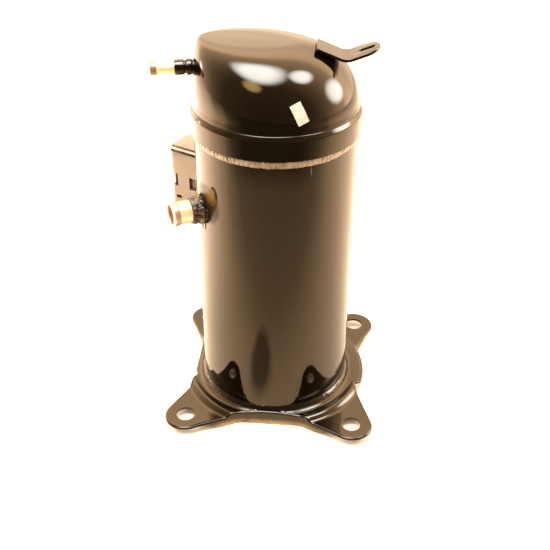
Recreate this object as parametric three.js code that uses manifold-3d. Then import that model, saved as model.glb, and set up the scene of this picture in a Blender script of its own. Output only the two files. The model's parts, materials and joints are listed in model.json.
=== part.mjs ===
// Hermetic scroll compressor for air conditioning: a welded steel shell on a four-foot
// base plate, with its motor, crankshaft and scroll set inside. Millimetres, +Z up.
// The origin is on the shell's axis, at the level of the floor.
import * as THREE from 'three';
import { mergeVertices } from 'three/addons/utils/BufferGeometryUtils.js';
import Module from 'manifold-3d';

const wasm = await Module();
wasm.setup();

// ---- Driving dimensions ---------------------------------------------------------
const GAP = 0.3;                 // clearance left between pieces that touch
const WALL = 3.0;                // pressed steel sheet

const FOOT_PITCH = 190.5;        // square of the four mounting holes
const FOOT_TIP_R = 24;
const FOOT_HOLE_R = 10.8;
const PAD_TOP = 12;              // top face of the feet
const CROWN_TOP = 17.8;          // raised ring that the shell is welded to
const CROWN_R = 110;

const SHELL_R = 85.4;
const SHELL_BORE = SHELL_R - 3.2;
const SHELL_BOTTOM = CROWN_TOP + GAP;
const SHELL_TOP = 347;
const INSIDE_R = SHELL_BORE - GAP;   // largest radius of what is pressed into the shell

const SKIRT_R = 88.5;            // top cap where it slips over the shell
const SKIRT_BOTTOM = 334.4;
const SHOULDER_Z = 351.8;
const DOME_BASE_Z = 362;
const DOME_R = 84.9;
const DOME_TOP = { x: -29, y: -5, halfLength: 46, halfWidth: 18, z: 426.6, turn: -6, crown: 1.75 };
const DOME_SQUARE_LEFT = 2.3;    // superellipse exponent on the steep side
const DOME_SQUARE_RIGHT = 1.95;  // and on the long slope

const SUCTION = { azimuth: -150.8, z: 254.5, tip: 120.1, r: 12.2, bore: 11.0 };
const DISCHARGE = { azimuth: -166.7, z: 401.6, tip: 125.2, r: 6.35, bore: 5.3 };

const BOX = { azimuth: 153, z: 245, halfWidth: 19, top: 41, bottom: -41, back: 88, front: 128 };
const TERMINAL_DROP = -9;        // hermetic terminal, below the middle of the box
const TERMINAL_R = 16;

const BRACKET = { azimuth: 2.6, x: 65.7, y: -8.8, z: 412.5, width: 30.5, leg: 31.5, arm: 34.9, thick: 3 };
const BRACKET_FALL = 22.5;       // slope of the welded leg, degrees
const BRACKET_RISE = 20.8;       // slope of the free leg
const BRACKET_SLOT = { from: 13.5, to: 30.2, halfWidth: 3.3 };   // along the free leg

const PITCH = 17.4;              // scroll wrap pitch
const WRAP = 4.2;                // wrap thickness
const WRAP_TURNS = 2.5;
const FLANK_GAP = 0.35;
const ORBIT = PITCH / 2 - WRAP - FLANK_GAP;   // crank throw

const THRUST_Z = 298;            // underside of the orbiting scroll's plate
const PLATE = 8;
const WRAP_HEIGHT = 26;
const ORBITING_R = 60;
const HUB_R = 23;
const JOURNAL_R = 16;
const PIN_R = 11;
const ROTOR_SEAT_R = 13.5;
const LOWER_JOURNAL_R = 9.5;
const RUNNING = 0.3;             // running clearance, as faceted solids need it

const STACK_BOTTOM = 96;         // stator laminations
const STACK_TOP = 176;
const ROTOR_R = 41.2;
const STATOR_BORE = 42;

const ROUND = 40;                // sides of the shell and its caps
const FINE = 24;
const COARSE = 16;
const WIDE = 28;                 // sides of the large inner pieces

// ---- Materials ------------------------------------------------------------------
const finish = (color, roughness, metalness) =>
  new THREE.MeshStandardMaterial({ color, roughness, metalness });
const BLACK = finish(0x1a1412, 0.22, 0.3);
const COPPER = finish(0xc98a4a, 0.3, 1.0);
const STEEL = finish(0x8c8a86, 0.4, 0.9);
const IRON = finish(0x5d5b58, 0.6, 0.8);
const ALUMINIUM = finish(0xb9bbbd, 0.45, 0.9);
const BRONZE = finish(0xa97b3f, 0.4, 0.9);
const ENAMEL = finish(0x8c4a1c, 0.35, 0.5);
const LAMINATION = finish(0x6d6f72, 0.55, 0.8);
const WELD = finish(0x9a8468, 0.5, 0.6);
const PLASTIC = finish(0x22201e, 0.45, 0.0);
const GLASS = finish(0x3f6a5a, 0.15, 0.0);

// ---- Geometry helpers -----------------------------------------------------------
const radians = THREE.MathUtils.degToRad;

// Shared vertices merged, empty triangles dropped and every face turned outwards.
function closed(geometry) {
  const bare = geometry.clone();
  for (const name of Object.keys(bare.attributes)) {
    if (name !== 'position') bare.deleteAttribute(name);
  }
  const merged = mergeVertices(bare, 1e-4);
  const at = merged.attributes.position;
  const index = [];
  let volume = 0;
  const [a, b, c] = [new THREE.Vector3(), new THREE.Vector3(), new THREE.Vector3()];
  for (let i = 0; i < merged.index.count; i += 3) {
    const [p, q, r] = [0, 1, 2].map((k) => merged.index.getX(i + k));
    if (p === q || q === r || r === p) continue;
    index.push(p, q, r);
    a.fromBufferAttribute(at, p);
    b.fromBufferAttribute(at, q);
    c.fromBufferAttribute(at, r);
    volume += a.dot(b.cross(c));
  }
  if (volume < 0) index.reverse();
  merged.setIndex(index);
  return merged;
}

function solid(geometry) {
  const g = closed(geometry);
  return new wasm.Manifold(new wasm.Mesh({
    numProp: 3,
    vertProperties: new Float32Array(g.attributes.position.array),
    triVerts: new Uint32Array(g.index.array),
  }));
}

function surface(manifold) {
  const mesh = manifold.getMesh();
  const g = new THREE.BufferGeometry();
  g.setAttribute('position', new THREE.BufferAttribute(new Float32Array(mesh.vertProperties), 3));
  g.setIndex(new THREE.BufferAttribute(new Uint32Array(mesh.triVerts), 1));
  return g;
}

const join = (first, ...rest) => surface(rest.reduce((m, g) => m.add(solid(g)), solid(first)));
const cut = (first, ...rest) => surface(rest.reduce((m, g) => m.subtract(solid(g)), solid(first)));
const common = (a, b) => surface(solid(a).intersect(solid(b)));

// A body of revolution about Z from a closed list of [radius, height] corners.
function turned(corners, segments = FINE) {
  const points = [...corners, corners[0]].map(([r, z]) => new THREE.Vector2(r, z));
  return new THREE.LatheGeometry(points, segments).rotateX(Math.PI / 2);
}

const ring = (outer, inner, z0, z1, segments = FINE) =>
  turned([[inner, z0], [outer, z0], [outer, z1], [inner, z1]], segments);

const rod = (r, z0, z1, segments = COARSE) =>
  new THREE.CylinderGeometry(r, r, z1 - z0, segments).rotateX(Math.PI / 2)
    .translate(0, 0, (z0 + z1) / 2);

const block = (x0, x1, y0, y1, z0, z1) =>
  new THREE.BoxGeometry(x1 - x0, y1 - y0, z1 - z0)
    .translate((x0 + x1) / 2, (y0 + y1) / 2, (z0 + z1) / 2);

const prism = (shape, z0, z1, curveSegments = 8) =>
  new THREE.ExtrudeGeometry(shape, { depth: z1 - z0, bevelEnabled: false, curveSegments })
    .translate(0, 0, z0);

// A skin over rings of equally many points, closed by a fan at each end.
function loft(rings) {
  const n = rings[0].length;
  const points = rings.flat();
  const index = [];
  for (let i = 0; i + 1 < rings.length; i++) {
    for (let j = 0; j < n; j++) {
      const k = (j + 1) % n;
      index.push(i * n + j, i * n + k, (i + 1) * n + k, i * n + j, (i + 1) * n + k, (i + 1) * n + j);
    }
  }
  for (const i of [0, rings.length - 1]) {
    const middle = rings[i].reduce((s, p) => s.add(p), new THREE.Vector3()).divideScalar(n);
    points.push(middle);
    for (let j = 0; j < n; j++) {
      const k = (j + 1) % n;
      const fan = [i * n + j, i * n + k, points.length - 1];
      index.push(...(i === 0 ? fan.reverse() : fan));
    }
  }
  return new THREE.BufferGeometry().setFromPoints(points).setIndex(index);
}

// A tube along a smooth route, closed at both ends.
function tube(route, r, steps, sides = 8) {
  const section = new THREE.Shape().absarc(0, 0, r, 0, 2 * Math.PI);
  const path = new THREE.CatmullRomCurve3(route.map((p) => new THREE.Vector3(...p)));
  return new THREE.ExtrudeGeometry(section, {
    steps, extrudePath: path, bevelEnabled: false, curveSegments: sides,
  });
}

function roundedRect(x0, x1, y0, y1, r) {
  const s = new THREE.Shape();
  s.absarc(x1 - r, y0 + r, r, -Math.PI / 2, 0);
  s.absarc(x1 - r, y1 - r, r, 0, Math.PI / 2);
  s.absarc(x0 + r, y1 - r, r, Math.PI / 2, Math.PI);
  s.absarc(x0 + r, y0 + r, r, Math.PI, 1.5 * Math.PI);
  return s;
}

const around = (r, degrees, z = 0) =>
  new THREE.Vector3(r * Math.cos(radians(degrees)), r * Math.sin(radians(degrees)), z);

// A frame on the shell: local Z points out along the azimuth, local Y is up.
function stationAt(azimuth, z) {
  const a = radians(azimuth);
  const station = new THREE.Group();
  station.applyMatrix4(new THREE.Matrix4().makeBasis(
    new THREE.Vector3(-Math.sin(a), Math.cos(a), 0),
    new THREE.Vector3(0, 0, 1),
    new THREE.Vector3(Math.cos(a), Math.sin(a), 0),
  ).setPosition(0, 0, z));
  station.updateMatrix();
  return station;
}

const compressor = new THREE.Group();
function add(name, geometry, material, parent = compressor) {
  const mesh = new THREE.Mesh(closed(geometry), material);
  mesh.name = name;
  parent.add(mesh);
  return mesh;
}

// ---- Frames of the side fittings ------------------------------------------------
const suctionSide = stationAt(SUCTION.azimuth, SUCTION.z);
const dischargeSide = stationAt(DISCHARGE.azimuth, DISCHARGE.z);
const boxSide = stationAt(BOX.azimuth, BOX.z);
compressor.add(suctionSide, dischargeSide, boxSide);
const fromSide = (geometry, side) => geometry.applyMatrix4(side.matrix);

// ---- Base plate -----------------------------------------------------------------
const HALF = FOOT_PITCH / 2;
const feet = [[HALF, -HALF], [HALF, HALF], [-HALF, HALF], [-HALF, -HALF]];

// The angle on a foot's tip circle where a line from the waist point touches it.
function touch([px, py], [cx, cy], side) {
  const away = Math.atan2(py - cy, px - cx);
  return away + side * Math.acos(FOOT_TIP_R / Math.hypot(px - cx, py - cy));
}

function plateOutline() {
  const s = new THREE.Shape();
  const waist = {
    front: [[-33, -91.5], [37, -91.5]],
    right: [[100.2, -36], [98.2, -29], [102.5, -24.5]],
    rightBack: [[97.5, 41.5], [100.3, 50.5]],
    back: [[37, 91.5], [-33, 91.5]],
    left: [[-96.4, 44.9], [-95.5, 37], [-95.5, -19], [-92.2, -26], [-96.8, -34], [-98.5, -47.2]],
  };
  const foot = (centre, before, after) => {
    const start = touch(before, centre, 1);
    const end = touch(after, centre, -1);
    s.absarc(...centre, FOOT_TIP_R, start, end, false);
  };
  s.moveTo(...waist.front[0]);
  s.lineTo(...waist.front[1]);
  foot(feet[0], waist.front[1], waist.right[0]);
  waist.right.forEach((p) => s.lineTo(...p));
  s.absarc(0, 0, 108, radians(-11.5), radians(19), false);
  waist.rightBack.forEach((p) => s.lineTo(...p));
  foot(feet[1], waist.rightBack[1], waist.back[0]);
  waist.back.forEach((p) => s.lineTo(...p));
  foot(feet[2], waist.back[1], waist.left[0]);
  waist.left.forEach((p) => s.lineTo(...p));
  foot(feet[3], waist.left[5], waist.front[0]);
  return s;
}

// The same outline moved inwards by a distance, corner by corner.
function inset(points, distance) {
  const n = points.length;
  return new THREE.Shape(points.map((p, i) => {
    const before = new THREE.Vector2().subVectors(p, points[(i + n - 1) % n]).normalize();
    const after = new THREE.Vector2().subVectors(points[(i + 1) % n], p).normalize();
    const mid = before.clone().add(after).normalize();
    const inward = new THREE.Vector2(-mid.y, mid.x);
    const shrink = distance / Math.max(0.5, -before.y * inward.x + before.x * inward.y);
    return p.clone().addScaledVector(inward, shrink);
  }));
}

function basePlate() {
  const rim = plateOutline().getPoints(5).filter((p, i, all) =>
    p.distanceTo(all[(i + 1) % all.length]) > 0.5);
  const sheet = block(-130, 130, -130, 130, PAD_TOP - WALL, PAD_TOP);
  const deck = cut(sheet, rod(CROWN_R - 4, 0, 40, ROUND));
  const crown = turned([
    [SHELL_BORE - 0.6, CROWN_TOP - WALL], [CROWN_R - 8, CROWN_TOP - WALL],
    [CROWN_R - 2.8, PAD_TOP - 2.4], [CROWN_R - 1, PAD_TOP - 2.4], [CROWN_R - 1, PAD_TOP - 0.6],
    [CROWN_R - 5.5, CROWN_TOP], [SHELL_BORE - 0.6, CROWN_TOP],
  ], ROUND);
  const wall = cut(prism(inset(rim, -4), 0, CROWN_TOP - 0.8), prism(inset(rim, WALL), -1, 40));
  const room = join(rod(CROWN_R - 7, -1, CROWN_TOP, ROUND), rod(200, -2, PAD_TOP - 0.8));
  const openTips = feet.map(([x, y]) => rod(36, -3, 30).translate(x, y, 0));
  const skirt = cut(common(wall, room), ...openTips, block(90, 140, -31.3, 44.2, -4, 31));
  const holes = feet.map(([x, y]) => rod(FOOT_HOLE_R, -1, 30).translate(x, y, 0));
  const blank = cut(prism(new THREE.Shape(rim), -2, 40), ...holes);
  return common(join(deck, crown, skirt), blank);
}
add('base_plate', basePlate(), BLACK);

// ---- Shell ----------------------------------------------------------------------
add('bottom_cap', turned([
  [0, 5], [60, 5], [77, 13], [INSIDE_R, 26], [INSIDE_R, 44],
  [INSIDE_R - WALL, 44], [INSIDE_R - WALL, 27], [74.5, 15], [59, 8], [0, 8],
], ROUND), BLACK);

const shellHoles = [
  fromSide(rod(SUCTION.r + GAP, 60, 100), suctionSide),
  fromSide(rod(TERMINAL_R + GAP, 60, 100).translate(0, TERMINAL_DROP, 0), boxSide),
];
add('shell_tube', cut(ring(SHELL_R, SHELL_BORE, SHELL_BOTTOM, SHELL_TOP, ROUND), ...shellHoles), BLACK);

add('girth_weld', turned([
  [SHELL_R + GAP, 328], [SHELL_R + 1.2, 328.4], [SKIRT_R - 0.6, 331.6], [SKIRT_R - 0.3, 334.1],
  [SHELL_R + GAP, 334.1],
], ROUND), WELD);

// ---- Top cap --------------------------------------------------------------------
// The dome rises from a circle to a smaller ellipse set off towards the discharge side.
function domeRings(shrink, sides, steps) {
  const turn = radians(DOME_TOP.turn);
  const angles = Array.from({ length: sides }, (_, i) => (2 * Math.PI * i) / sides);
  const foot = (t) => [(DOME_R - shrink) * Math.cos(t), (DOME_R - shrink) * Math.sin(t)];
  const top = (t, scale = 1) => {
    const u = (DOME_TOP.halfLength - shrink / 2) * scale * Math.cos(t - turn);
    const v = (DOME_TOP.halfWidth - shrink / 2) * scale * Math.sin(t - turn);
    return [DOME_TOP.x + u * Math.cos(turn) - v * Math.sin(turn),
      DOME_TOP.y + u * Math.sin(turn) + v * Math.cos(turn)];
  };
  const height = DOME_TOP.z - shrink - DOME_BASE_Z;
  const rings = [];
  for (let i = 1; i <= steps; i++) {
    const s = (Math.PI / 2) * (i / steps);
    rings.push(angles.map((t) => {
      const left = 0.5 - 0.5 * Math.cos(t);
      const power = 2 / THREE.MathUtils.lerp(DOME_SQUARE_RIGHT, DOME_SQUARE_LEFT, left);
      const inward = 1 - Math.max(Math.cos(s), 0) ** power;
      const [[x0, y0], [x1, y1]] = [foot(t), top(t)];
      const z = DOME_BASE_Z + height * Math.sin(s) ** power;
      return new THREE.Vector3(x0 + (x1 - x0) * inward, y0 + (y1 - y0) * inward, z);
    }));
  }
  for (const scale of [0.66, 0.33]) {
    const rise = DOME_TOP.crown * (1 - scale * scale) ** 2;
    rings.push(angles.map((t) => new THREE.Vector3(...top(t, scale), DOME_BASE_Z + height + rise)));
  }
  return rings;
}

function circleRings(profile, sides) {
  return profile.map(([r, z]) => Array.from({ length: sides }, (_, i) =>
    around(r, (360 * i) / sides, z)));
}

function topCap() {
  const outer = loft([
    ...circleRings([
      [SKIRT_R, SKIRT_BOTTOM], [SKIRT_R, SHOULDER_Z], [SKIRT_R - 0.9, SHOULDER_Z + 4.4],
      [SKIRT_R - 3.2, SHOULDER_Z + 7.6], [DOME_R - 1.0, DOME_BASE_Z - 1.6], [DOME_R, DOME_BASE_Z],
    ], ROUND),
    ...domeRings(0, ROUND, 7),
  ]);
  const inner = loft([
    ...circleRings([
      [SHELL_R + 0.75, SKIRT_BOTTOM - 1], [SHELL_R + 0.75, SHELL_TOP + 3.7],
      [DOME_R - 4, SHELL_TOP + 6.4], [DOME_R - WALL, DOME_BASE_Z],
    ], WIDE),
    ...domeRings(WALL, WIDE, 4),
  ]);
  const port = fromSide(rod(6.7, 60, 100), dischargeSide);
  return cut(outer, inner, port);
}
const capSolid = topCap();
add('top_cap', capSolid, BLACK);

// ---- Pipe stubs -----------------------------------------------------------------
add('suction_spud', turned([
  [SUCTION.bore - 0.6, 79], [SUCTION.r, 79], [SUCTION.r, 86.2], [SUCTION.r + 4.2, 86.4],
  [SUCTION.r + 3.2, 90.5], [SUCTION.r + 1.6, 93], [SUCTION.r + 1.6, 99],
  [SUCTION.r + GAP, 99], [SUCTION.r + GAP, 90.4], [SUCTION.bore - 0.6, 90.4],
], COARSE + 4), BLACK, suctionSide);
add('suction_stub', turned([
  [SUCTION.bore, 90.8], [SUCTION.r, 90.8], [SUCTION.r, 112], [SUCTION.r + 0.6, 113],
  [SUCTION.r + 0.6, SUCTION.tip - 0.8], [SUCTION.r + 0.2, SUCTION.tip],
  [SUCTION.bore, SUCTION.tip],
], COARSE + 4), COPPER, suctionSide);

add('discharge_spud', turned([
  [4.4, 78], [6.4, 78], [6.4, 83.4], [6.4, 86], [8.0, 86.2], [8.0, 89.6], [6.9, 90], [6.9, 91.6],
  [7.7, 92], [7.7, 101.4], [6.65, 101.4], [6.65, 95.6], [4.4, 95.6],
], COARSE), BLACK, dischargeSide);
add('discharge_stub', turned([
  [DISCHARGE.bore, 96], [DISCHARGE.r, 96], [DISCHARGE.r, 118.6], [DISCHARGE.r + 0.5, 119.4],
  [DISCHARGE.r + 0.5, DISCHARGE.tip], [DISCHARGE.bore, DISCHARGE.tip],
], COARSE), COPPER, dischargeSide);

// ---- Lifting bracket on the dome ------------------------------------------------
function liftingBracket() {
  const { leg, arm, thick, width } = BRACKET;
  const fall = radians(BRACKET_FALL);
  const rise = radians(BRACKET_RISE);
  const plate = (length) => roundedRect(0, length, -width / 2, width / 2, 3);
  const welded = prism(plate(leg + 3), 0, thick).translate(-3, 0, 0)
    .rotateZ(Math.PI).rotateY(fall);
  const tip = new THREE.Shape();
  tip.moveTo(-3, -width / 2);
  tip.absarc(arm - width / 2, 0, width / 2, -Math.PI / 2, Math.PI / 2);
  tip.lineTo(-3, width / 2);
  const slot = new THREE.Shape();
  const { from, to, halfWidth } = BRACKET_SLOT;
  slot.absarc(from + halfWidth, 0, halfWidth, Math.PI / 2, 1.5 * Math.PI);
  slot.absarc(to - halfWidth, 0, halfWidth, -Math.PI / 2, Math.PI / 2);
  tip.holes.push(slot);
  const free = prism(tip, 0, thick).rotateY(-rise);
  return join(welded, free);
}
const bracketPlace = new THREE.Group();
bracketPlace.position.set(BRACKET.x, BRACKET.y, BRACKET.z);
bracketPlace.rotation.z = radians(BRACKET.azimuth);
compressor.add(bracketPlace);
add('lifting_bracket', liftingBracket(), BLACK, bracketPlace);

// ---- Terminal box ---------------------------------------------------------------
const shellClear = (r) => rod(r, -60, 60, ROUND).rotateX(-Math.PI / 2);
const SHEET = 2;
const SCREW_Y = 28;
const LIP = 1.4;                 // the cover's top edge stands proud by this

function terminalFence() {
  const w = BOX.halfWidth - 4;
  const [y0, y1] = [BOX.bottom + 5, BOX.top - 5];
  const outer = prism(roundedRect(-w, w, y0, y1, 4), 60, 104);
  const inner = prism(roundedRect(-w + SHEET, w - SHEET, y0 + SHEET, y1 - SHEET, 2), 50, 120);
  return cut(outer, inner, shellClear(SHELL_R + GAP));
}
add('terminal_fence', terminalFence(), BLACK, boxSide);

function terminalCover() {
  const w = BOX.halfWidth;
  const { top, bottom, back, front } = BOX;
  const shell = cut(
    prism(roundedRect(-w, w, bottom, top, 6), back, front),
    prism(roundedRect(-w + SHEET, w - SHEET, bottom + SHEET, top - SHEET, 4), back - 1, front - SHEET),
  );
  const lipped = common(
    prism(roundedRect(-w - LIP, w + LIP, bottom, top + LIP, 7), back, front + 0.8),
    block(-w - 5, w + 5, top - 5, top + 5, back - 1, front + 5),
  );
  const room = prism(roundedRect(-w + 1, w - 1, bottom, top - 1, 5), back - 2, front - 1);
  const hooded = join(shell, cut(lipped, room));
  const cuts = [
    block(w - 5, w + 5, -8, 8, front - 9, front + 5),        // wire entry notch
    block(w - 5, w + 5, -8, 7, 94, 103),                     // rectangular window
    block(w - 5, w + 5, -23, -19, 115, 122),                 // small slot
    rod(2.3, front - 5, front + 5, 12).translate(0, SCREW_Y, 0),
  ];
  return cut(hooded, ...cuts);
}
add('terminal_cover', terminalCover(), BLACK, boxSide);

const coverScrew = join(
  rod(4, BOX.front + GAP, BOX.front + 4, 6),
  rod(1.9, BOX.front - 6, BOX.front + 1.5, 10),
).translate(0, SCREW_Y, 0);
add('cover_screw', coverScrew, STEEL, boxSide);

const pins = [90, 210, 330].map((a) => [7.2 * Math.cos(radians(a)), 7.2 * Math.sin(radians(a))]);
add('terminal_body', cut(
  turned([[0, 78.6], [TERMINAL_R, 78.6], [TERMINAL_R, 83.2], [TERMINAL_R - 2, 83.2],
    [TERMINAL_R - 2, 81.6], [0, 81.6]], COARSE + 4),
  ...pins.map(([x, y]) => rod(3.4, 70, 95, 10).translate(x, y, 0)),
).translate(0, TERMINAL_DROP, 0), STEEL, boxSide);
pins.forEach(([x, y], i) => {
  add(`terminal_bead_${i + 1}`, ring(3.1, 1.9, 78.8, 82.4, 10).translate(x, y + TERMINAL_DROP, 0),
    GLASS, boxSide);
  add(`terminal_pin_${i + 1}`, rod(1.6, 72, 98, 12).translate(x, y + TERMINAL_DROP, 0),
    STEEL, boxSide);
});

// ---- Motor: stator --------------------------------------------------------------
const gasSlots = [0, 60, 120, 180, 240, 300].map((a) =>
  block(-9, 9, INSIDE_R - 2.4, INSIDE_R + 5, STACK_BOTTOM - 1, STACK_TOP + 1).rotateZ(radians(a)));
add('stator_core', cut(
  ring(INSIDE_R, STATOR_BORE, STACK_BOTTOM, STACK_TOP, WIDE), ...gasSlots), LAMINATION);

const endTurns = (z0, z1) => turned([
  [51, z0], [68, z0], [72, z0 + 5], [70, z1 - 3], [66, z1], [52, z1], [48, z1 - 5], [48, z0 + 4],
], COARSE + 4);
add('winding_top', endTurns(STACK_TOP + GAP, STACK_TOP + 26), ENAMEL);
add('winding_bottom', endTurns(STACK_BOTTOM - 28, STACK_BOTTOM - GAP), ENAMEL);
add('motor_protector', prism(roundedRect(-9, 9, -5, 5, 3), 0, 8, 4)
  .rotateZ(radians(70)).translate(...around(60, -20, STACK_TOP + 26 + GAP)), PLASTIC);

// ---- Motor: rotor and crankshaft ------------------------------------------------
const HUB_FLOOR = 270.5;
const COLLAR_TOP = 273.9;
const PIN_TOP = THRUST_Z - 4;
const SHAFT_BOTTOM = 44.3;
const PICKUP_R = 5;
const GALLERY_R = 2.4;

const shaft = turned([
  [0, SHAFT_BOTTOM], [LOWER_JOURNAL_R, SHAFT_BOTTOM], [LOWER_JOURNAL_R, 71],
  [ROTOR_SEAT_R, 73], [ROTOR_SEAT_R, 222], [JOURNAL_R, 225], [JOURNAL_R, HUB_FLOOR + 0.4],
  [20, HUB_FLOOR + 0.4], [20, COLLAR_TOP], [0, COLLAR_TOP],
]);
add('crankshaft', cut(
  join(shaft, rod(PIN_R, COLLAR_TOP - 1, PIN_TOP, COARSE + 4).translate(ORBIT, 0, 0)),
  rod(PICKUP_R + GAP, 40, 62, 20),
  rod(GALLERY_R, 60, PIN_TOP + 5, 12).translate(ORBIT / 2, 0, 0),
), STEEL);
add('oil_pickup', ring(PICKUP_R, 3.4, 16, 60, 20), STEEL);
add('gallery_plug', rod(GALLERY_R - GAP, PIN_TOP - 6, PIN_TOP - 1, 12).translate(ORBIT / 2, 0, 0), STEEL);
add('drive_bushing', ring(14.5, PIN_R + GAP, COLLAR_TOP + 0.4, PIN_TOP - 0.5, COARSE + 4)
  .translate(ORBIT, 0, 0), STEEL);

add('rotor_core', ring(ROTOR_R, ROTOR_SEAT_R + GAP, STACK_BOTTOM, STACK_TOP, WIDE), LAMINATION);
add('rotor_end_ring_top', ring(ROTOR_R - 1, 20, STACK_TOP + GAP, STACK_TOP + 9), ALUMINIUM);
add('rotor_end_ring_bottom', ring(ROTOR_R - 1, 20, STACK_BOTTOM - 9, STACK_BOTTOM - GAP), ALUMINIUM);

function halfRing(outer, inner, z0, z1, middle) {
  const s = new THREE.Shape();
  s.absarc(0, 0, outer, radians(-80), radians(80), false);
  s.absarc(0, 0, inner, radians(80), radians(-80), true);
  return prism(s, z0, z1, 6).rotateZ(radians(middle));
}
// The weights balance the orbiting scroll: the upper one is opposite the crank pin.
add('counterweight_top', halfRing(39, 20, STACK_TOP + 9 + GAP, STACK_TOP + 25, 180), BRONZE);
add('counterweight_bottom', halfRing(39, 20, STACK_BOTTOM - 21, STACK_BOTTOM - 9 - GAP, 0), BRONZE);

// ---- Bearings -------------------------------------------------------------------
function lowerBearingBracket() {
  const hub = rod(20, 44, 70, FINE);
  const arms = [30, 150, 270].map((a) => block(10, INSIDE_R + 4, -11, 11, 52, 58).rotateZ(radians(a)));
  const trimmed = common(join(hub, ...arms), rod(INSIDE_R, 40, 80, ROUND));
  return cut(trimmed, rod(12.6, 30, 90, COARSE + 4));
}
add('lower_bearing_bracket', lowerBearingBracket(), IRON);
add('lower_bearing_bush', ring(12.3, LOWER_JOURNAL_R + RUNNING, 45, 69, COARSE + 4), BRONZE);
add('thrust_plate', ring(19, PICKUP_R + 1, 40.6, 43.7, COARSE + 4), STEEL);

const POCKET_IN = 46;
const POCKET_OUT = 66;
const POCKET_FLOOR = 288.4;
const HOUSING_TOP = 308;
const BOLT_CIRCLE = 73.5;
const BOLT_ANGLES = [45, 135, 225, 315];
const KEY = { inner: 51.5, outer: 59.5, width: 8 };

function mainBearingHousing() {
  const body = turned([
    [19, 236], [27, 236], [30, 257], [58, 270], [INSIDE_R, 270], [INSIDE_R, HOUSING_TOP],
    [POCKET_OUT, HOUSING_TOP], [POCKET_OUT, POCKET_FLOOR], [POCKET_IN, POCKET_FLOOR],
    [POCKET_IN, THRUST_Z - 0.4], [28.5, THRUST_Z - 0.4], [28.5, HUB_FLOOR], [19, HUB_FLOOR],
  ], WIDE);
  const half = KEY.width / 2 + GAP;
  const keyways = block(-POCKET_OUT + 0.1, POCKET_OUT - 0.1, -half, half, 280, POCKET_FLOOR + 1);
  const keywayRing = common(keyways, ring(POCKET_OUT, POCKET_IN, 270, 300, WIDE));
  const bolts = BOLT_ANGLES.map((a) => rod(2.6, 290, 320, 12).translate(...around(BOLT_CIRCLE, a)));
  const gasWays = [20, 110, 200, 290].map((a) =>
    rod(7, 260, 300, 16).translate(...around(56, a)));
  return cut(body, keywayRing, ...bolts, ...gasWays);
}
add('main_bearing_housing', mainBearingHousing(), IRON);
add('main_bearing_bush', ring(18.7, JOURNAL_R + RUNNING, 236.5, 268, COARSE + 4), BRONZE);

// ---- Oldham ring ----------------------------------------------------------------
function oldhamRing() {
  const { inner, outer, width } = KEY;
  const key = (z0, z1, a) => block(inner, outer, -width / 2, width / 2, z0, z1).rotateZ(radians(a));
  return join(
    ring(61.2, 50.8, POCKET_FLOOR + 0.4, 293.6, WIDE),
    key(281, 290, 0), key(281, 290, 180), key(292, THRUST_Z + 5, 90), key(292, THRUST_Z + 5, 270),
  ).translate(ORBIT, 0, 0);
}
add('oldham_ring', oldhamRing(), ALUMINIUM);

// ---- Scroll set -----------------------------------------------------------------
// One wrap: the strip between two involutes of the same base circle, half a thickness
// either side of its middle line.
function wrapShape() {
  const base = PITCH / (2 * Math.PI);
  const half = WRAP / (2 * base);
  const involute = (t, side) => new THREE.Vector2(
    base * (Math.cos(t) + (t + side) * Math.sin(t)),
    base * (Math.sin(t) - (t + side) * Math.cos(t)),
  );
  const start = 1.25 * Math.PI;
  const end = 2 * Math.PI * WRAP_TURNS;
  const steps = 56;
  const flank = (side) => Array.from({ length: steps + 1 }, (_, i) =>
    involute(start + ((end - start) * i) / steps, side));
  return new THREE.Shape([...flank(half), ...flank(-half).reverse()]);
}
const ORBITING_TOP = THRUST_Z + PLATE;
const FIXED_FACE = ORBITING_TOP + WRAP_HEIGHT + 0.4;
const FIXED_TOP = FIXED_FACE + 11.6;

function orbitingScroll() {
  const slotHalf = KEY.width / 2 + GAP;
  const reach = KEY.inner - ORBIT - 0.5;
  const slots = [90, 270].map((a) =>
    block(reach, 70, -slotHalf, slotHalf, THRUST_Z - 1, THRUST_Z + 7).rotateZ(radians(a)));
  const plate = cut(rod(ORBITING_R, THRUST_Z, ORBITING_TOP, WIDE), ...slots);
  const hub = ring(HUB_R, 17.3, COLLAR_TOP + 1.1, THRUST_Z + 1, 40);
  const wrap = prism(wrapShape(), ORBITING_TOP - 1, ORBITING_TOP + WRAP_HEIGHT);
  return join(plate, hub, wrap).translate(ORBIT, 0, 0);
}
add('orbiting_scroll', orbitingScroll(), IRON);
add('orbiting_bearing_bush', ring(17, 14.5 + RUNNING, COLLAR_TOP + 1.4, THRUST_Z - 1, COARSE + 4)
  .translate(ORBIT, 0, 0), BRONZE);

const PORT_R = 5.5;
const VALVE_SEAT = FIXED_TOP - 3;
const SEAL_GROOVE = FIXED_TOP - 6;

function fixedScroll() {
  const flange = turned([
    [0, FIXED_FACE], [53, FIXED_FACE], [53, HOUSING_TOP + GAP], [80, HOUSING_TOP + GAP],
    [80, FIXED_TOP - 8], [56, FIXED_TOP], [50, FIXED_TOP], [50, SEAL_GROOVE], [26, SEAL_GROOVE],
    [26, FIXED_TOP], [0, FIXED_TOP],
  ], WIDE);
  const wrap = prism(wrapShape(), ORBITING_TOP + 0.4, FIXED_FACE + 1).rotateZ(Math.PI);
  const inlet = block(50, 90, -14, 14, ORBITING_TOP + 4, FIXED_FACE - 4).rotateZ(radians(-150));
  const bolts = BOLT_ANGLES.map((a) => rod(2.6, 300, 360, 12).translate(...around(BOLT_CIRCLE, a)));
  const seats = BOLT_ANGLES.map((a) => rod(8, 330, 360, 16).translate(...around(BOLT_CIRCLE, a)));
  return cut(join(flange, wrap), inlet, ...bolts, ...seats,
    rod(PORT_R, 300, 360, 20), rod(11, VALVE_SEAT, 360));
}
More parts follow.
